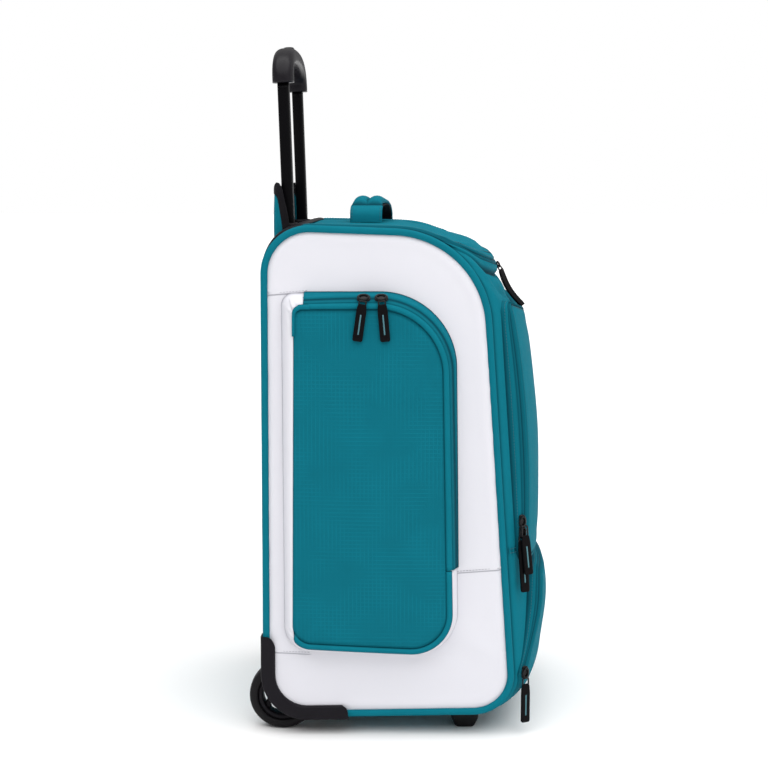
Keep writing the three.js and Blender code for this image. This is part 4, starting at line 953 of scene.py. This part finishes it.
# trolley handle: leaning back by lean, measured up from its foot in the housing;
# button rows are share of its size, height
trolley = {
    "lean": math.radians(1.83), "foot": (-133.7, 597.7), "tubeY": 91.0, "tube": (6.75, 10.0),
    "down": -132.0, "up": 161.7, "gripFoot": 162.0, "gripRise": 31.5, "gripDepth": 12.5, "archPower": 3.1,
    "legHalf": 14.0, "barHalf": 10.5, "crest": 3.5, "slot": (6.9, 20.9, 199.6), "button": (6.0, 20.0),
    "buttonRows": [(0.0, 203.5), (0.98, 203.5), (1.0, 204.2), (1.0, 207.4), (0.96, 208.9), (0.86, 209.7),
                   (0.5, 210.1), (0.0, 210.2)],
}


# turns a part from the handle's own upright axes to its lean
def leaned(part):
    x, y, z = part["co"].T
    c, s = math.cos(trolley["lean"]), math.sin(trolley["lean"])
    part["co"] = np.stack([trolley["foot"][0] + x * c - z * s, y, trolley["foot"][1] + x * s + z * c], -1)
    return part


def buildTrolley():
    look = trolley
    a, b = superLoop(49, 0.42)
    loop = np.stack([a * look["tube"][0], b * look["tube"][1]], -1)
    for side, name in ((-1, "right"), (1, "left")):
        z = np.concatenate([[look["down"]], np.linspace(look["down"] + 0.8, look["up"], 40)])
        path = np.stack([0 * z, side * look["tubeY"] + 0 * z, z], -1)
        ends = np.where(z < look["down"] + 0.5, 0.93, 1.0)[:, None] * np.ones(2)
        tube = leaned(carryLoop(loop, path, (1, 0, 0), (0, 1, 0), ends))
        makePiece("handle_tube_" + name + "_stage", [tube], blackTube, body="trolley_handle",
                  replaces=["handle_tube_" + name], slot="black_metal")
    # grip: a rounded section carried over a superellipse arch, thinner along its bar, with the button's slot
    q = np.concatenate([np.linspace(0, 0.5, 36), np.linspace(0.5, np.pi - 0.5, 170)[1:-1],
                        np.linspace(np.pi - 0.5, np.pi, 36)])
    c, s = superPoint(q, 2 / look["archPower"])
    y, z = -look["tubeY"] * c, look["gripFoot"] + look["gripRise"] * s
    z = z + look["crest"] * (1 - (y / look["tubeY"]) ** 2) * ease(z, 172, 190)
    path = np.stack([0 * y, y, z], -1)
    ahead = unit(np.gradient(path, axis=0))
    ahead[0], ahead[-1] = (0, 0, 1), (0, 0, -1)
    out = facingOut(np.cross(ahead, np.array([1.0, 0, 0])), path, (0, 0, 150))
    half = look["legHalf"] + (look["barHalf"] - look["legHalf"]) * ease(z, 166, 190)
    a, b = superLoop(89, 0.72)
    flat = 1 - 0.16 * np.clip(-b, 0, 1)
    loops = np.stack([a * look["gripDepth"] + 0 * half[:, None], b * flat * half[:, None]], -1)
    part = carryLoop(loops, path, (1, 0, 0), out)
    co = part["co"]
    sx, sy, floorZ = look["slot"]
    inside = (np.abs(co[:, 0]) < sx) & (np.abs(co[:, 1]) < sy) & (co[:, 2] > 200)
    co[inside, 2] = floorZ
    makePiece("grip_shell", [leaned(part)], gripPlastic, body="trolley_handle", replaces=["grip"],
              slot="black_plastic")
    a, b = superLoop(81, 0.45)
    rows = np.array(look["buttonRows"])
    bx, by = look["button"]
    points = np.stack([a * bx * rows[:, :1], b * by * rows[:, :1], rows[:, 1:] + 0 * a], -1)
    points[..., 2] -= 1.5 * (points[..., 1] / by) ** 2 * (rows[:, 1:] > 206)
    makePiece("grip_button_pad", [leaned(sheetPart(points))], blackRubber, body="grip_button",
              replaces=["grip_button"], slot="black_plastic")


# black housing over the back top corner: the body's skin lifted, rolling down to it at its borders;
# rims round the tubes
housing = {"to": 6.955, "lift": 2.7, "thin": 0.6, "half": 155.4, "rim": 1.8, "rimTop": -1.6}


def buildHousing():
    look = housing
    s = np.concatenate([np.linspace(0, 0.04, 9), np.linspace(0.05, 0.95, 50), np.linspace(0.96, 1, 9)])
    s, y = s[:, None], acrossY(look["half"], 81)[None, :]
    sides = quarterRound((look["half"] - np.abs(y)) / 4.5)
    ends = quarterRound(np.minimum(s / 0.1, (1 - s) / 0.018))
    ends = ends * (1 - look["thin"] * ease(s, 0.42, 0.86))
    lift = look["lift"] * sides * ends - 0.4 + 0.5 * bell(np.abs(y) - look["half"] + 9, 2.5) * ends
    first = topS(lidBack(y) + 3.0, y)
    place = first + (look["to"] - first) * s
    parts = [sheetPart(bodyAt(place + 0 * y, y + 0 * s, lift))]
    a, b = superLoop(65, 0.45)
    for side in (-1, 1):
        steps = np.linspace(0, np.pi, 11)[:, None]
        grow = 0.8 + look["rim"] / 2 - look["rim"] / 2 * np.cos(steps)
        up = look["rimTop"] - 1.6 + 1.6 * np.sin(steps)
        grow, up = np.concatenate([grow, grow[-1:]]), np.concatenate([up, up[-1:] - 20])
        x, yy = a * (trolley["tube"][0] + grow), b * (trolley["tube"][1] + grow) + side * trolley["tubeY"]
        parts.append(leaned(sheetPart(np.stack([x, yy, up + 0 * x], -1))))
    makePiece("handle_housing_shell", parts, blackPlastic, replaces=["handle_housing"], slot="black_plastic",
              wall=2.0, outFrom=bodyShape["centre"])


# hood behind the handle: a teal wall hangs from the inner line of a black binding that climbs the sloping
# side edge, turns over the tip and runs along the back; both lines are given for the right half, as x, y, z,
# and mirrored
hood = {
    "outer": [(-128, -115.8, 572), (-129.6, -115.8, 585), (-130.9, -115.8, 598), (-132.4, -115.8, 608),
              (-134.6, -115.8, 618), (-137.1, -115.8, 629), (-138.6, -115.6, 637), (-141.6, -115.2, 644),
              (-145.6, -113.4, 645.2), (-148.4, -107, 642.4), (-149.0, -60, 641.4), (-149.0, 0, 640.6)],
    "inner": [(-136.6, -115.8, 572), (-138.0, -115.8, 585), (-139.6, -115.8, 599), (-141.0, -115.8, 608),
              (-142.6, -115.8, 618), (-144.2, -115.5, 627), (-146.2, -115.2, 630.5), (-147.6, -113.6, 632),
              (-148.8, -109, 632), (-149.0, -100, 632), (-149.0, -60, 631), (-149.0, 0, 630)],
    "foot": 556.0, "puff": 1.3, "inside": (-90, 0, 600),
}


# a half line with its mirror image, resampled and smoothed
def hoodLine(points):
    half = np.array(points, float)
    line = np.concatenate([half, half[-2::-1] * [1, -1, 1]])
    at = np.linspace(0, len(line) - 1, 300)
    return averaged(readOff(at, np.arange(len(line)), line), 10)


def buildHood():
    look, inside = hood, hood["inside"]
    outer, inner = hoodLine(look["outer"]), hoodLine(look["inner"])
    out = facingOut(np.cross(unit(np.gradient(inner, axis=0)), unit(outer - inner)), inner, inside)
    v = np.linspace(0, 1, 14)[:, None, None] ** 0.5
    foot = inner * [1, 1, 0] + [0, 0, look["foot"]]
    wall = foot * (1 - v) + (inner + (inner - outer) * 0.02) * v
    wall = wall + out * [1, 1, 0] * np.sin(np.pi * v) * (np.abs(inner[:, 1:2]) < 112)
    # painted shade along the wall's top, under the binding
    tone = 0.8 * bell(v[..., 0] - 1, 0.02) + 0 * wall[..., 0]
    makePiece("handle_hood_wall", [sheetPart(wall, tone=tone)], tealCloth, replaces=["handle_hood"],
              slot="teal_cloth", wall=1.2, outFrom=inside, cut=(262, 80), on=["handle_housing_shell"])
    w = np.linspace(-0.04, 1, 13)[:, None, None]
    puff = look["puff"] * np.sin(np.pi * np.clip(w, 0, 1)) ** 0.6
    band = inner + (outer - inner) * w + out * (0.4 + puff)
    # painted shade along the binding's inner edge
    tone = 0.6 * bell(w[..., 0], 0.06) + 0 * band[..., 0]
    makePiece("hood_binding_band", [sheetPart(band, tone=tone)], blackCloth, replaces=["hood_binding"],
              slot="black_cloth", wall=1.0, outFrom=inside, cut=(12, 390), on=["handle_hood_wall"])


# carry handle: a flat strap carried over a superellipse arch; its top is stuffed into two lobes either side
# of a crease
carry = {"x": -39.4, "half": 18.9, "skew": 4.0, "footY": 84.0, "footZ": 598.5, "rise": 23.2,
         "power": (3.8, 2.2), "thick": 1.7, "lobe": 6.2, "seamZ": 617.6, "liningDrop": 3.2}


# the strap's middle line, drawn in by shrink, and its outward directions
def carryPath(shrink, count):
    q = np.linspace(0.0, np.pi, count)
    c, s = superPoint(q, np.where(q < np.pi / 2, 2 / carry["power"][0], 2 / carry["power"][1]))
    y, z = -(carry["footY"] - shrink) * c, carry["footZ"] + (carry["rise"] - shrink) * s
    path = softened(np.stack([carry["skew"] * y / carry["footY"], y, z], -1), count=count, passes=3)
    out = np.cross(unit(np.gradient(path, axis=0)), np.array([1.0, 0, 0]))
    return path, facingOut(out, path, (0, 0, 590))


def buildCarryHandle():
    look = carry
    at, mirror = np.array([look["x"], 0, 0]), [1, -1, 1]
    path, out = carryPath(0.0, 190)
    stuffed = ease(path[:, 2], look["seamZ"] - 0.4, look["seamZ"] + 2.2)
    stuffed = (stuffed * (1 - 0.75 * ease(path[:, 1], -35, 25)))[:, None]
    u = np.linspace(-1, 1, 49)
    lobes = np.sqrt(np.clip(1 - ((np.abs(u) - 0.5) / 0.505) ** 2, 0, 1))
    rim = np.sqrt(np.clip(1 - np.abs(u) ** 14, 0, 1))
    width = look["half"] * (1 - 0.10 * stuffed)
    sewn = (bell(path[:, 2] - look["seamZ"], 0.8) * (path[:, 1] < 0))[:, None]
    above = look["thick"] * rim + look["lobe"] * stuffed * lobes - sewn * rim
    below = look["thick"] * rim + 0.8 * stuffed * lobes
    loops = np.concatenate([np.stack([u * width, above], -1),
                            np.stack([u[::-1] * width, -below[:, ::-1]], -1)], 1)
    loops = np.concatenate([loops, loops[:, :1]], 1)
    rows = path[:, None] + loops[..., :1] * np.array([1.0, 0, 0]) + loops[..., 1:] * out[:, None] + at
    # painted shade along the sewn seam and in the crease between the lobes
    tone = np.clip(0.9 * sewn + 0.45 * stuffed * bell(u, 0.05), 0, 1)
    tone = np.concatenate([tone, 0 * below, 0 * below[:, :1]], 1)
    strap = makePiece("carry_handle_strap", [sheetPart(rows, tone=tone)], tealCloth,
                      replaces=["carry_handle"], slot="teal_cloth")
    under, underOut = carryPath(look["liningDrop"], 100)
    loop = np.stack(superLoop(33, 0.3), -1) * [look["half"] - 0.8, 0.9]
    makePiece("carry_handle_lining_strap", [carryLoop(loop, under + at, (1, 0, 0), underOut)], blackCloth,
              replaces=["carry_handle_lining"], slot="black_cloth")
    # two rows of stitching at each foot
    rows = []
    low = (path[:, 1] < 0) & (path[:, 2] > 600) & (path[:, 2] < 615)
    for edge in (-1, 1):
        line = path[low] + at + [edge * (look["half"] - 2.4), 0, 0] + out[low] * (look["thick"] - 0.1)
        rows += [stitchPart(line, out[low]), stitchPart(line * mirror, out[low] * mirror)]
    makePiece("carry_handle_stitches", rows, tealThread, slot="teal_cloth")


# wheels: tyre and hub are profiles of radius, offset turned round the axle; spokes are bars that sweep back
# as they go out
wheel = {
    "at": (-140.6, -134.0, 40.0), "spokes": 5, "turn": 0.8, "sweep": 0.55,
    "spokeFrom": 8.5, "spokeLength": 16.3,
    "tyre": [(29.4, -9.5), (29.8, -11.0), (31.5, -11.8), (34.5, -12.0), (37.2, -11.2), (38.9, -9.6),
             (39.7, -7.2), (39.95, -4.6), (39.2, -4.3), (39.2, -3.5), (40.0, -3.2), (40.0, 3.2), (39.2, 3.5),
             (39.2, 4.3), (39.95, 4.6), (39.7, 7.2), (38.9, 9.6), (37.2, 11.2), (34.5, 12.0), (31.5, 11.8),
             (29.8, 11.0), (29.4, 9.5), (29.4, -9.5)],
    "rim": [(24.0, -8.0), (24.4, -8.8), (25.2, -9.2), (28.2, -9.2), (28.9, -8.8), (29.2, -8.0), (29.2, 8.0),
            (28.9, 8.8), (28.2, 9.2), (25.2, 9.2), (24.4, 8.8), (24.0, 8.0), (24.0, -8.0)],
    "boss": [(4.6, -13.6), (7.6, -13.8), (8.8, -13.2), (9.6, -11.6), (10.2, 0.0), (9.6, 11.6), (8.8, 13.2),
             (7.6, 13.8), (4.6, 13.6), (4.6, -13.6)],
}


def buildWheels():
    look = wheel
    x, y, z = look["at"]
    for side, name in ((1, "right"), (-1, "left")):
        yy = y * side
        tyre = turnPart(look["tyre"], x, yy, z, 120)
        makePiece("tyre_" + name + "_ring", [tyre], blackRubber, body="wheel_" + name,
                  replaces=["tyre_" + name], slot="black_tyre")
        parts = [turnPart(look["rim"], x, yy, z, 96), turnPart(look["boss"], x, yy, z, 60)]
        r = np.linspace(look["spokeFrom"], look["spokeFrom"] + look["spokeLength"], 18)
        loop = np.stack(superLoop(25, 0.5), -1)
        waist = ((r - 16.5) / 8) ** 2
        swell = np.stack([2.5 + 1.8 * waist, 3.2 + 1.2 * waist], -1)
        for k in range(look["spokes"]):
            sweep = look["sweep"] * ((r - look["spokeFrom"]) / look["spokeLength"]) ** 1.6
            angle = 2 * np.pi * k / look["spokes"] + look["turn"] + sweep
            path = np.stack([x + r * np.cos(angle), yy + 0 * r, z + r * np.sin(angle)], -1)
            across = np.cross(unit(np.gradient(path, axis=0)), np.array([0, 1.0, 0]))
            parts.append(carryLoop(loop, path, across, (0, 1, 0), swell))
        makePiece("hub_" + name + "_spokes", parts, blackPlastic, body="wheel_" + name,
                  replaces=["hub_" + name], slot="black_plastic")


# corner guard over the piping: a section across the outline carried round the back bottom corner, its inner
# corners rounded off; behind it two cheeks, discs cut off at the outline, and a well hold the wheel
guard = {"topZ": 119.0, "frontX": -62.0, "inset": 14.6, "outset": 2.3, "face": 167.2, "panel": 163.4,
         "lip": 150.0, "round": (13.0, 6.5), "wellRadius": 43.5, "wellWall": 3.5,
         "cheeks": [(-157.0, -148.7), (-119.3, -113.2)]}


# rings round the wheel's axle at angles a: rows are share of reach, y
def axleRings(reach, a, rows):
    x, _, z = wheel["at"]
    ring = lambda f, y: np.stack([x + reach * f * np.cos(a), y + 0 * a, z + reach * f * np.sin(a)], -1)
    return np.stack([ring(f, y) for f, y in rows])


def buildGuards():
    look = guard
    edge = edgeCorners(0.0)
    s = np.linspace(7.2, 9.8, 1400)
    place, _ = outlineAt(s, edge)
    first = np.argmax(place[:, 1] < look["topZ"])
    last = np.argmax((place[:, 0] > look["frontX"]) & (place[:, 1] < 60))
    s, along = s[first:last + 1], lengthAlong(place[first:last + 1])
    # section: from the inner edge on the panel, over the face, round the outside and in under the lip
    section = softened([(look["inset"], look["panel"] - 1.5), (look["inset"], look["face"]),
                        (-look["outset"], look["face"]), (-look["outset"], look["lip"])], count=34, passes=5)
    inset, depth = section[:, :1], section[:, 1:]
    t = np.linspace(0, 1, 100)[None, :]
    near = np.clip((inset - 4.0) / (look["inset"] - 4.0), 0, 1)
    cut = 1 - np.sqrt(np.clip(1 - near ** 2, 0, 1))
    begin, end = look["round"][0] * cut, along[-1] - look["round"][1] * cut
    at = np.interp(begin + (end - begin) * t, along, s)
    place, out = outlineAt(at, edge)
    p = place - out * inset[..., None]
    shell = np.stack([p[..., 0], -depth + 0 * p[..., 0], p[..., 1]], -1)
    made = makePair("wheel_guard", [sheetPart(shell)], blackPlastic, ["wheel_housing"],
                    outFrom=(-90, -150, 90), slot="black_plastic", wall=2.2)
    for guardShell in made:
        soft = guardShell.modifiers.new("edge", "BEVEL")
        soft.width = 0.5 * mm
        soft.segments = 2
    ring, _ = outlineAt(np.linspace(0, 8, 2000), edgeCorners(-1.5))
    dx, dz = ring[:, 0] - wheel["at"][0], ring[:, 1] - wheel["at"][2]
    angle, reach = np.arctan2(dz, dx), np.hypot(dx, dz)
    order = np.argsort(angle)
    a = np.linspace(-np.pi, np.pi, 145)
    r0, r1 = look["wellRadius"], look["wellRadius"] + look["wellWall"]
    r = np.minimum(np.interp(a, angle[order], reach[order], period=2 * np.pi), r1)
    parts = []
    for y0, y1 in look["cheeks"]:
        rows = [(0.0, y0), (0.97, y0), (1.0, y0 + 0.8), (1.0, y1 - 0.8), (0.97, y1), (0.0, y1)]
        parts.append(sheetPart(axleRings(r, a, rows)))
    deep = r > r1 - 0.01
    arc = np.linspace(a[deep][0], a[deep][-1], 90)
    (_, y0), (y1, _) = look["cheeks"]
    well = axleRings(1, arc, [(r0, y0 - 1), (r0, y1 + 1), (r1, y1 + 1), (r1, y0 - 1), (r0, y0 - 1)])
    parts.append(sheetPart(capped(well.swapaxes(0, 1)).swapaxes(0, 1)))
    makePair("wheel_well", parts, blackPlastic, slot="black_plastic")


# rubber feet: a rounded rectangle that widens upwards, as rows of half length, height
feet = {"x": 75.8, "y": -120.0, "halfWidth": 15.0,
        "rows": [(0.0, 0.0), (8.5, 0.0), (10.6, 0.35), (12.0, 1.5), (13.0, 3.6), (16.3, 10.5), (16.6, 14),
                 (16.6, 29.5), (0.0, 29.5)]}


def buildFeet():
    a, b = superLoop(73, 0.38)
    rows = np.array(feet["rows"])
    half, up = rows[:, :1], rows[:, 1:]
    wide = (feet["halfWidth"] - (half.max() - half) * 0.5) * (half > 0)
    points = np.stack([feet["x"] + a * half, feet["y"] + b * wide, up + 0 * a], -1)
    makePair("foot_block", [sheetPart(points)], blackRubber, ["foot"], slot="black_rubber")


# zip sliders and pulls: each is made flat, x along right and z along out, and then turned onto its zip;
# sliders are given as place, right, out, and pulls as those, the bail's length and the tab's length
zipParts = {
    "slider": {"half": (7.6, 4.6), "loop": (5.6, 3.3),
               "rows": [(0, 0.2), (0.9, 0.2), (1, 0.5), (1, 1.0), (0.92, 1.25), (0.72, 1.4), (0.72, 2.0),
                        (0.9, 2.15), (1, 2.4), (0.97, 2.8), (0.85, 3.05), (0, 3.1)]},
    "tab": {"half": 5.7, "thick": 1.8, "neck": 4.4, "wire": 0.9, "lidSlack": 4.5},
    "sliders": {
        "side_back": ((-42, -178.3, 515.3), (1, 0, 0), (0, -0.81, 0.585)),
        "side_front": ((-22, -178.4, 515.4), (1, 0, 0), (0, -0.81, 0.585)),
        "upper_top": ((139.8, -142.2, 254), (0, 0, 1), (0.48, -0.88, 0)),
        "upper_low": ((140.2, -142.2, 241), (0, 0, 1), (0.48, -0.88, 0)),
        "lower": ((145.0, -148.4, 74), (0.06, 0, 1), (0.48, -0.88, 0)),
        "lid": ((112.2, -12, 544.6), (0, 1, 0), (0.94, 0, 0.34))},
    "pulls": {
        "side_back": ((-42.5, -185.2, 514), (0.99, 0, -0.14), (0, -1, 0), 4.5, 42),
        "side_front": ((-21.5, -185.2, 514), (0.99, 0, 0.09), (0, -1, 0), 4.5, 42),
        "upper_top": ((143.0, -147.6, 250), (0.88, 0.48, 0.06), (0.48, -0.87, 0.1), 12, 46),
        "upper_low": ((140.6, -145.4, 237), (0.88, 0.48, 0.02), (0.48, -0.87, 0.1), 5, 61),
        "lower": ((146.6, -151.0, 68), (0.88, 0.48, 0), (0.48, -0.88, 0), 8, 46),
        "lid": ((115.8, -12, 544), (0.424, 0.866, 0.265), (0.734, -0.50, 0.459), 5, 52)},
}


# turns a flat part onto its place: right is made square to out
def placedPart(part, at, right, out):
    out = unit(np.array(out, float))
    right = np.array(right, float)
    right = unit(right - out * (right @ out))
    part["co"] = np.array(at, float) + part["co"] @ np.stack([right, np.cross(out, right), out])
    return part


# slider: two waisted plates, the lower one on the zip, with an oval loop over them that the bail runs in
def sliderParts():
    look = zipParts["slider"]
    hx, hy = look["half"]
    a, b = superLoop(49, 0.7)
    waist = 1 - 0.16 * (1 - np.abs(a) ** 2)
    rows = np.array(look["rows"])
    body = np.stack([a * hx * rows[:, :1], b * waist * hy * rows[:, :1], rows[:, 1:] + 0 * a], -1)
    q = np.linspace(0, 2 * np.pi, 40, endpoint=False)
    lx, ly = look["loop"]
    loop = np.stack([lx * np.cos(q), ly * np.sin(q), 4.1 + 0.5 * np.cos(2 * q)], -1)
    return [sheetPart(body), wirePart(loop, 1.15)]


# pull: a wire bail, then a rubber tab that is a rounded slab, narrow at its neck, with a sunk slit down its
# middle; slack bows it by half a sine and widens its upper end
def pullParts(bail, length, slack=0.0):
    look = zipParts["tab"]
    n, foot, z = look["neck"] - 0.6, -bail - 2.2, look["thick"]
    ring = softened([(-n, -0.9, 0), (n, -0.9, 0), (n, foot, 0), (-n, foot, 0)],
                    count=64, passes=5, closed=True)
    v = np.linspace(0, 1, 46)
    half = look["neck"] + 0.6 + (look["half"] - look["neck"] - 0.6) * ease(v, 0.02, 0.22)
    half = half * np.sqrt(np.clip(1 - np.clip((v - 0.955) / 0.05, 0, 1) ** 2 * 0.5, 0, 1))
    half = half * (0.72 + 0.28 * np.sqrt(np.clip(v / 0.05, 0, 1)))
    a, b = superLoop(61, 0.42)
    thick = z * (0.86 + 0.14 * ease(v, 0.1, 0.3))
    slit = ease(v, 0.24, 0.27) * (1 - ease(v, 0.83, 0.86))
    ridge = 0.16 * np.sin(v * np.pi * 16) * ease(v, 0.86, 0.88) * (1 - ease(v, 0.97, 0.99))
    x = a * (half * (1 + 0.06 * slack * (0.5 - v)))[:, None]
    depth = b * (thick + ridge)[:, None]
    sunk = 0.7 * slit[:, None] * bell(x, 1.15) * (np.abs(b) > 0.7)
    depth = depth - np.sign(b) * sunk - slack * np.sin(v * np.pi)[:, None]
    rows = capped(np.stack([x, -bail - v[:, None] * length + 0 * x, depth], -1))
    parts = [sheetPart(rows), wirePart(ring, look["wire"], mat=1)]
    # a pale bar in the slit of each face
    run = -bail - length * np.linspace(0.28, 0.82, 12)
    loop = np.stack(superLoop(25, 0.42), -1) * [0.85, 0.35]
    for face in (-1, 1):
        path = np.stack([0 * run, run, face * (z - 0.55) + 0 * run], -1)
        parts.append(carryLoop(loop, path, (1, 0, 0), (0, 0, 1), mat=2))
    return parts


# sliders and pulls of the side pockets are pairs, the others single
def makeZipPart(stands, ending, parts, mats, slot):
    if "_side_" in stands:
        makePair(stands + ending, parts, mats, [stands], slot=slot)
    else:
        makePiece(stands + ending, parts, mats, replaces=[stands], slot=slot)


def buildZipParts():
    for name, (at, right, out) in zipParts["sliders"].items():
        parts = [placedPart(p, at, right, out) for p in sliderParts()]
        makeZipPart("slider_" + name, "_body", parts, darkMetal, "black_metal")
    for name, (at, right, out, bail, length) in zipParts["pulls"].items():
        # the lid's tab hangs slack and has no bar
        slack = zipParts["tab"]["lidSlack"] if name == "lid" else 0.0
        made = pullParts(bail, length, slack)
        parts = [placedPart(p, at, right, out) for p in (made[:2] if slack else made)]
        makeZipPart("pull_" + name, "_tab", parts, [tabRubber, darkMetal, tabInlay], "black_rubber")


buildTrolley()
buildHousing()
buildHood()
buildCarryHandle()
buildWheels()
buildGuards()
buildFeet()
buildZipParts()
print("hard parts made")

# frame parts that stay as they are, with a better finish
keptNodes = {"axle_right": darkMetal, "axle_left": darkMetal,
             "tube_guide_right": blackTube, "tube_guide_left": blackTube}
for nodeName, finish in keptNodes.items():
    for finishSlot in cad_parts[nodeName].material_slots:
        finishSlot.material = finish


# camera at the photograph's angle; focal is the focal length in pixels of a picture of that many pixels
view = {"place": (37.62, -1887.66, 644.05), "target": (-25.0, 0.0, 395.4),
        "sensor": 36.0, "focal": 1525, "pixels": 768}
camera = bpy.data.objects.new("camera", bpy.data.cameras.new("camera"))
bpy.context.scene.collection.objects.link(camera)
camera.location = Vector(view["place"]) * mm
camera.rotation_euler = (Vector(view["target"]) - Vector(view["place"])).to_track_quat("-Z", "Y").to_euler()
camera.data.lens = view["sensor"] * view["focal"] / view["pixels"]
camera.data.sensor_width = view["sensor"]
camera.data.clip_end = 50.0
bpy.context.scene.camera = camera


# pale floor and soft studio light: a wide soft lamp overhead, a weak one in front, as place, power, spread,
# and a white surround that is dimmer as a light than it looks
studio = {"floor": (0.84, 0.84, 0.84), "size": 30.0, "surround": 0.34,
          "lamps": [("overhead", (-0.03, -0.27, 1.0), 3.5, 85.0),
                    ("front_fill", (1.0, -0.25, 0.55), 1.05, 110.0)]}


def buildStudio():
    mesh = bpy.data.meshes.new("floor")
    f = studio["size"]
    mesh.from_pydata([(-f, -f, 0), (f, -f, 0), (f, f, 0), (-f, f, 0)], [], [(0, 1, 2, 3)])
    floor = bpy.data.objects.new("floor", mesh)
    bpy.context.scene.collection.objects.link(floor)
    mat, tree, shader = newMaterial("pale_floor")
    setInputs(tree, shader, {"Base Color": studio["floor"] + (1.0,), "Roughness": 0.9,
                             "Specular IOR Level": 0.0})
    mesh.materials.append(mat)
    world = bpy.data.worlds.new("studio")
    bpy.context.scene.world = world
    world.use_nodes = True
    tree = world.node_tree
    light = tree.nodes["Background"]
    setInputs(tree, light, {0: (1, 1, 1, 1), 1: studio["surround"]})
    seen = addNode(tree, "Background", {0: (1, 1, 1, 1), 1: 1.0})
    camRay = addNode(tree, "LightPath").outputs["Is Camera Ray"]
    both = addNode(tree, "MixShader", {0: camRay, 1: light.outputs[0], 2: seen.outputs[0]})
    setInputs(tree, tree.nodes["World Output"], {0: both.outputs[0]})
    for name, place, power, spread in studio["lamps"]:
        lamp = bpy.data.objects.new(name, bpy.data.lights.new(name, "SUN"))
        lamp.data.energy = power
        lamp.data.angle = math.radians(spread)
        lamp.location = place
        lamp.rotation_euler = Vector(place).to_track_quat("Z", "Y").to_euler()
        bpy.context.scene.collection.objects.link(lamp)
    bpy.context.scene.view_settings.view_transform = "Standard"


buildStudio()
print("camera and studio made")
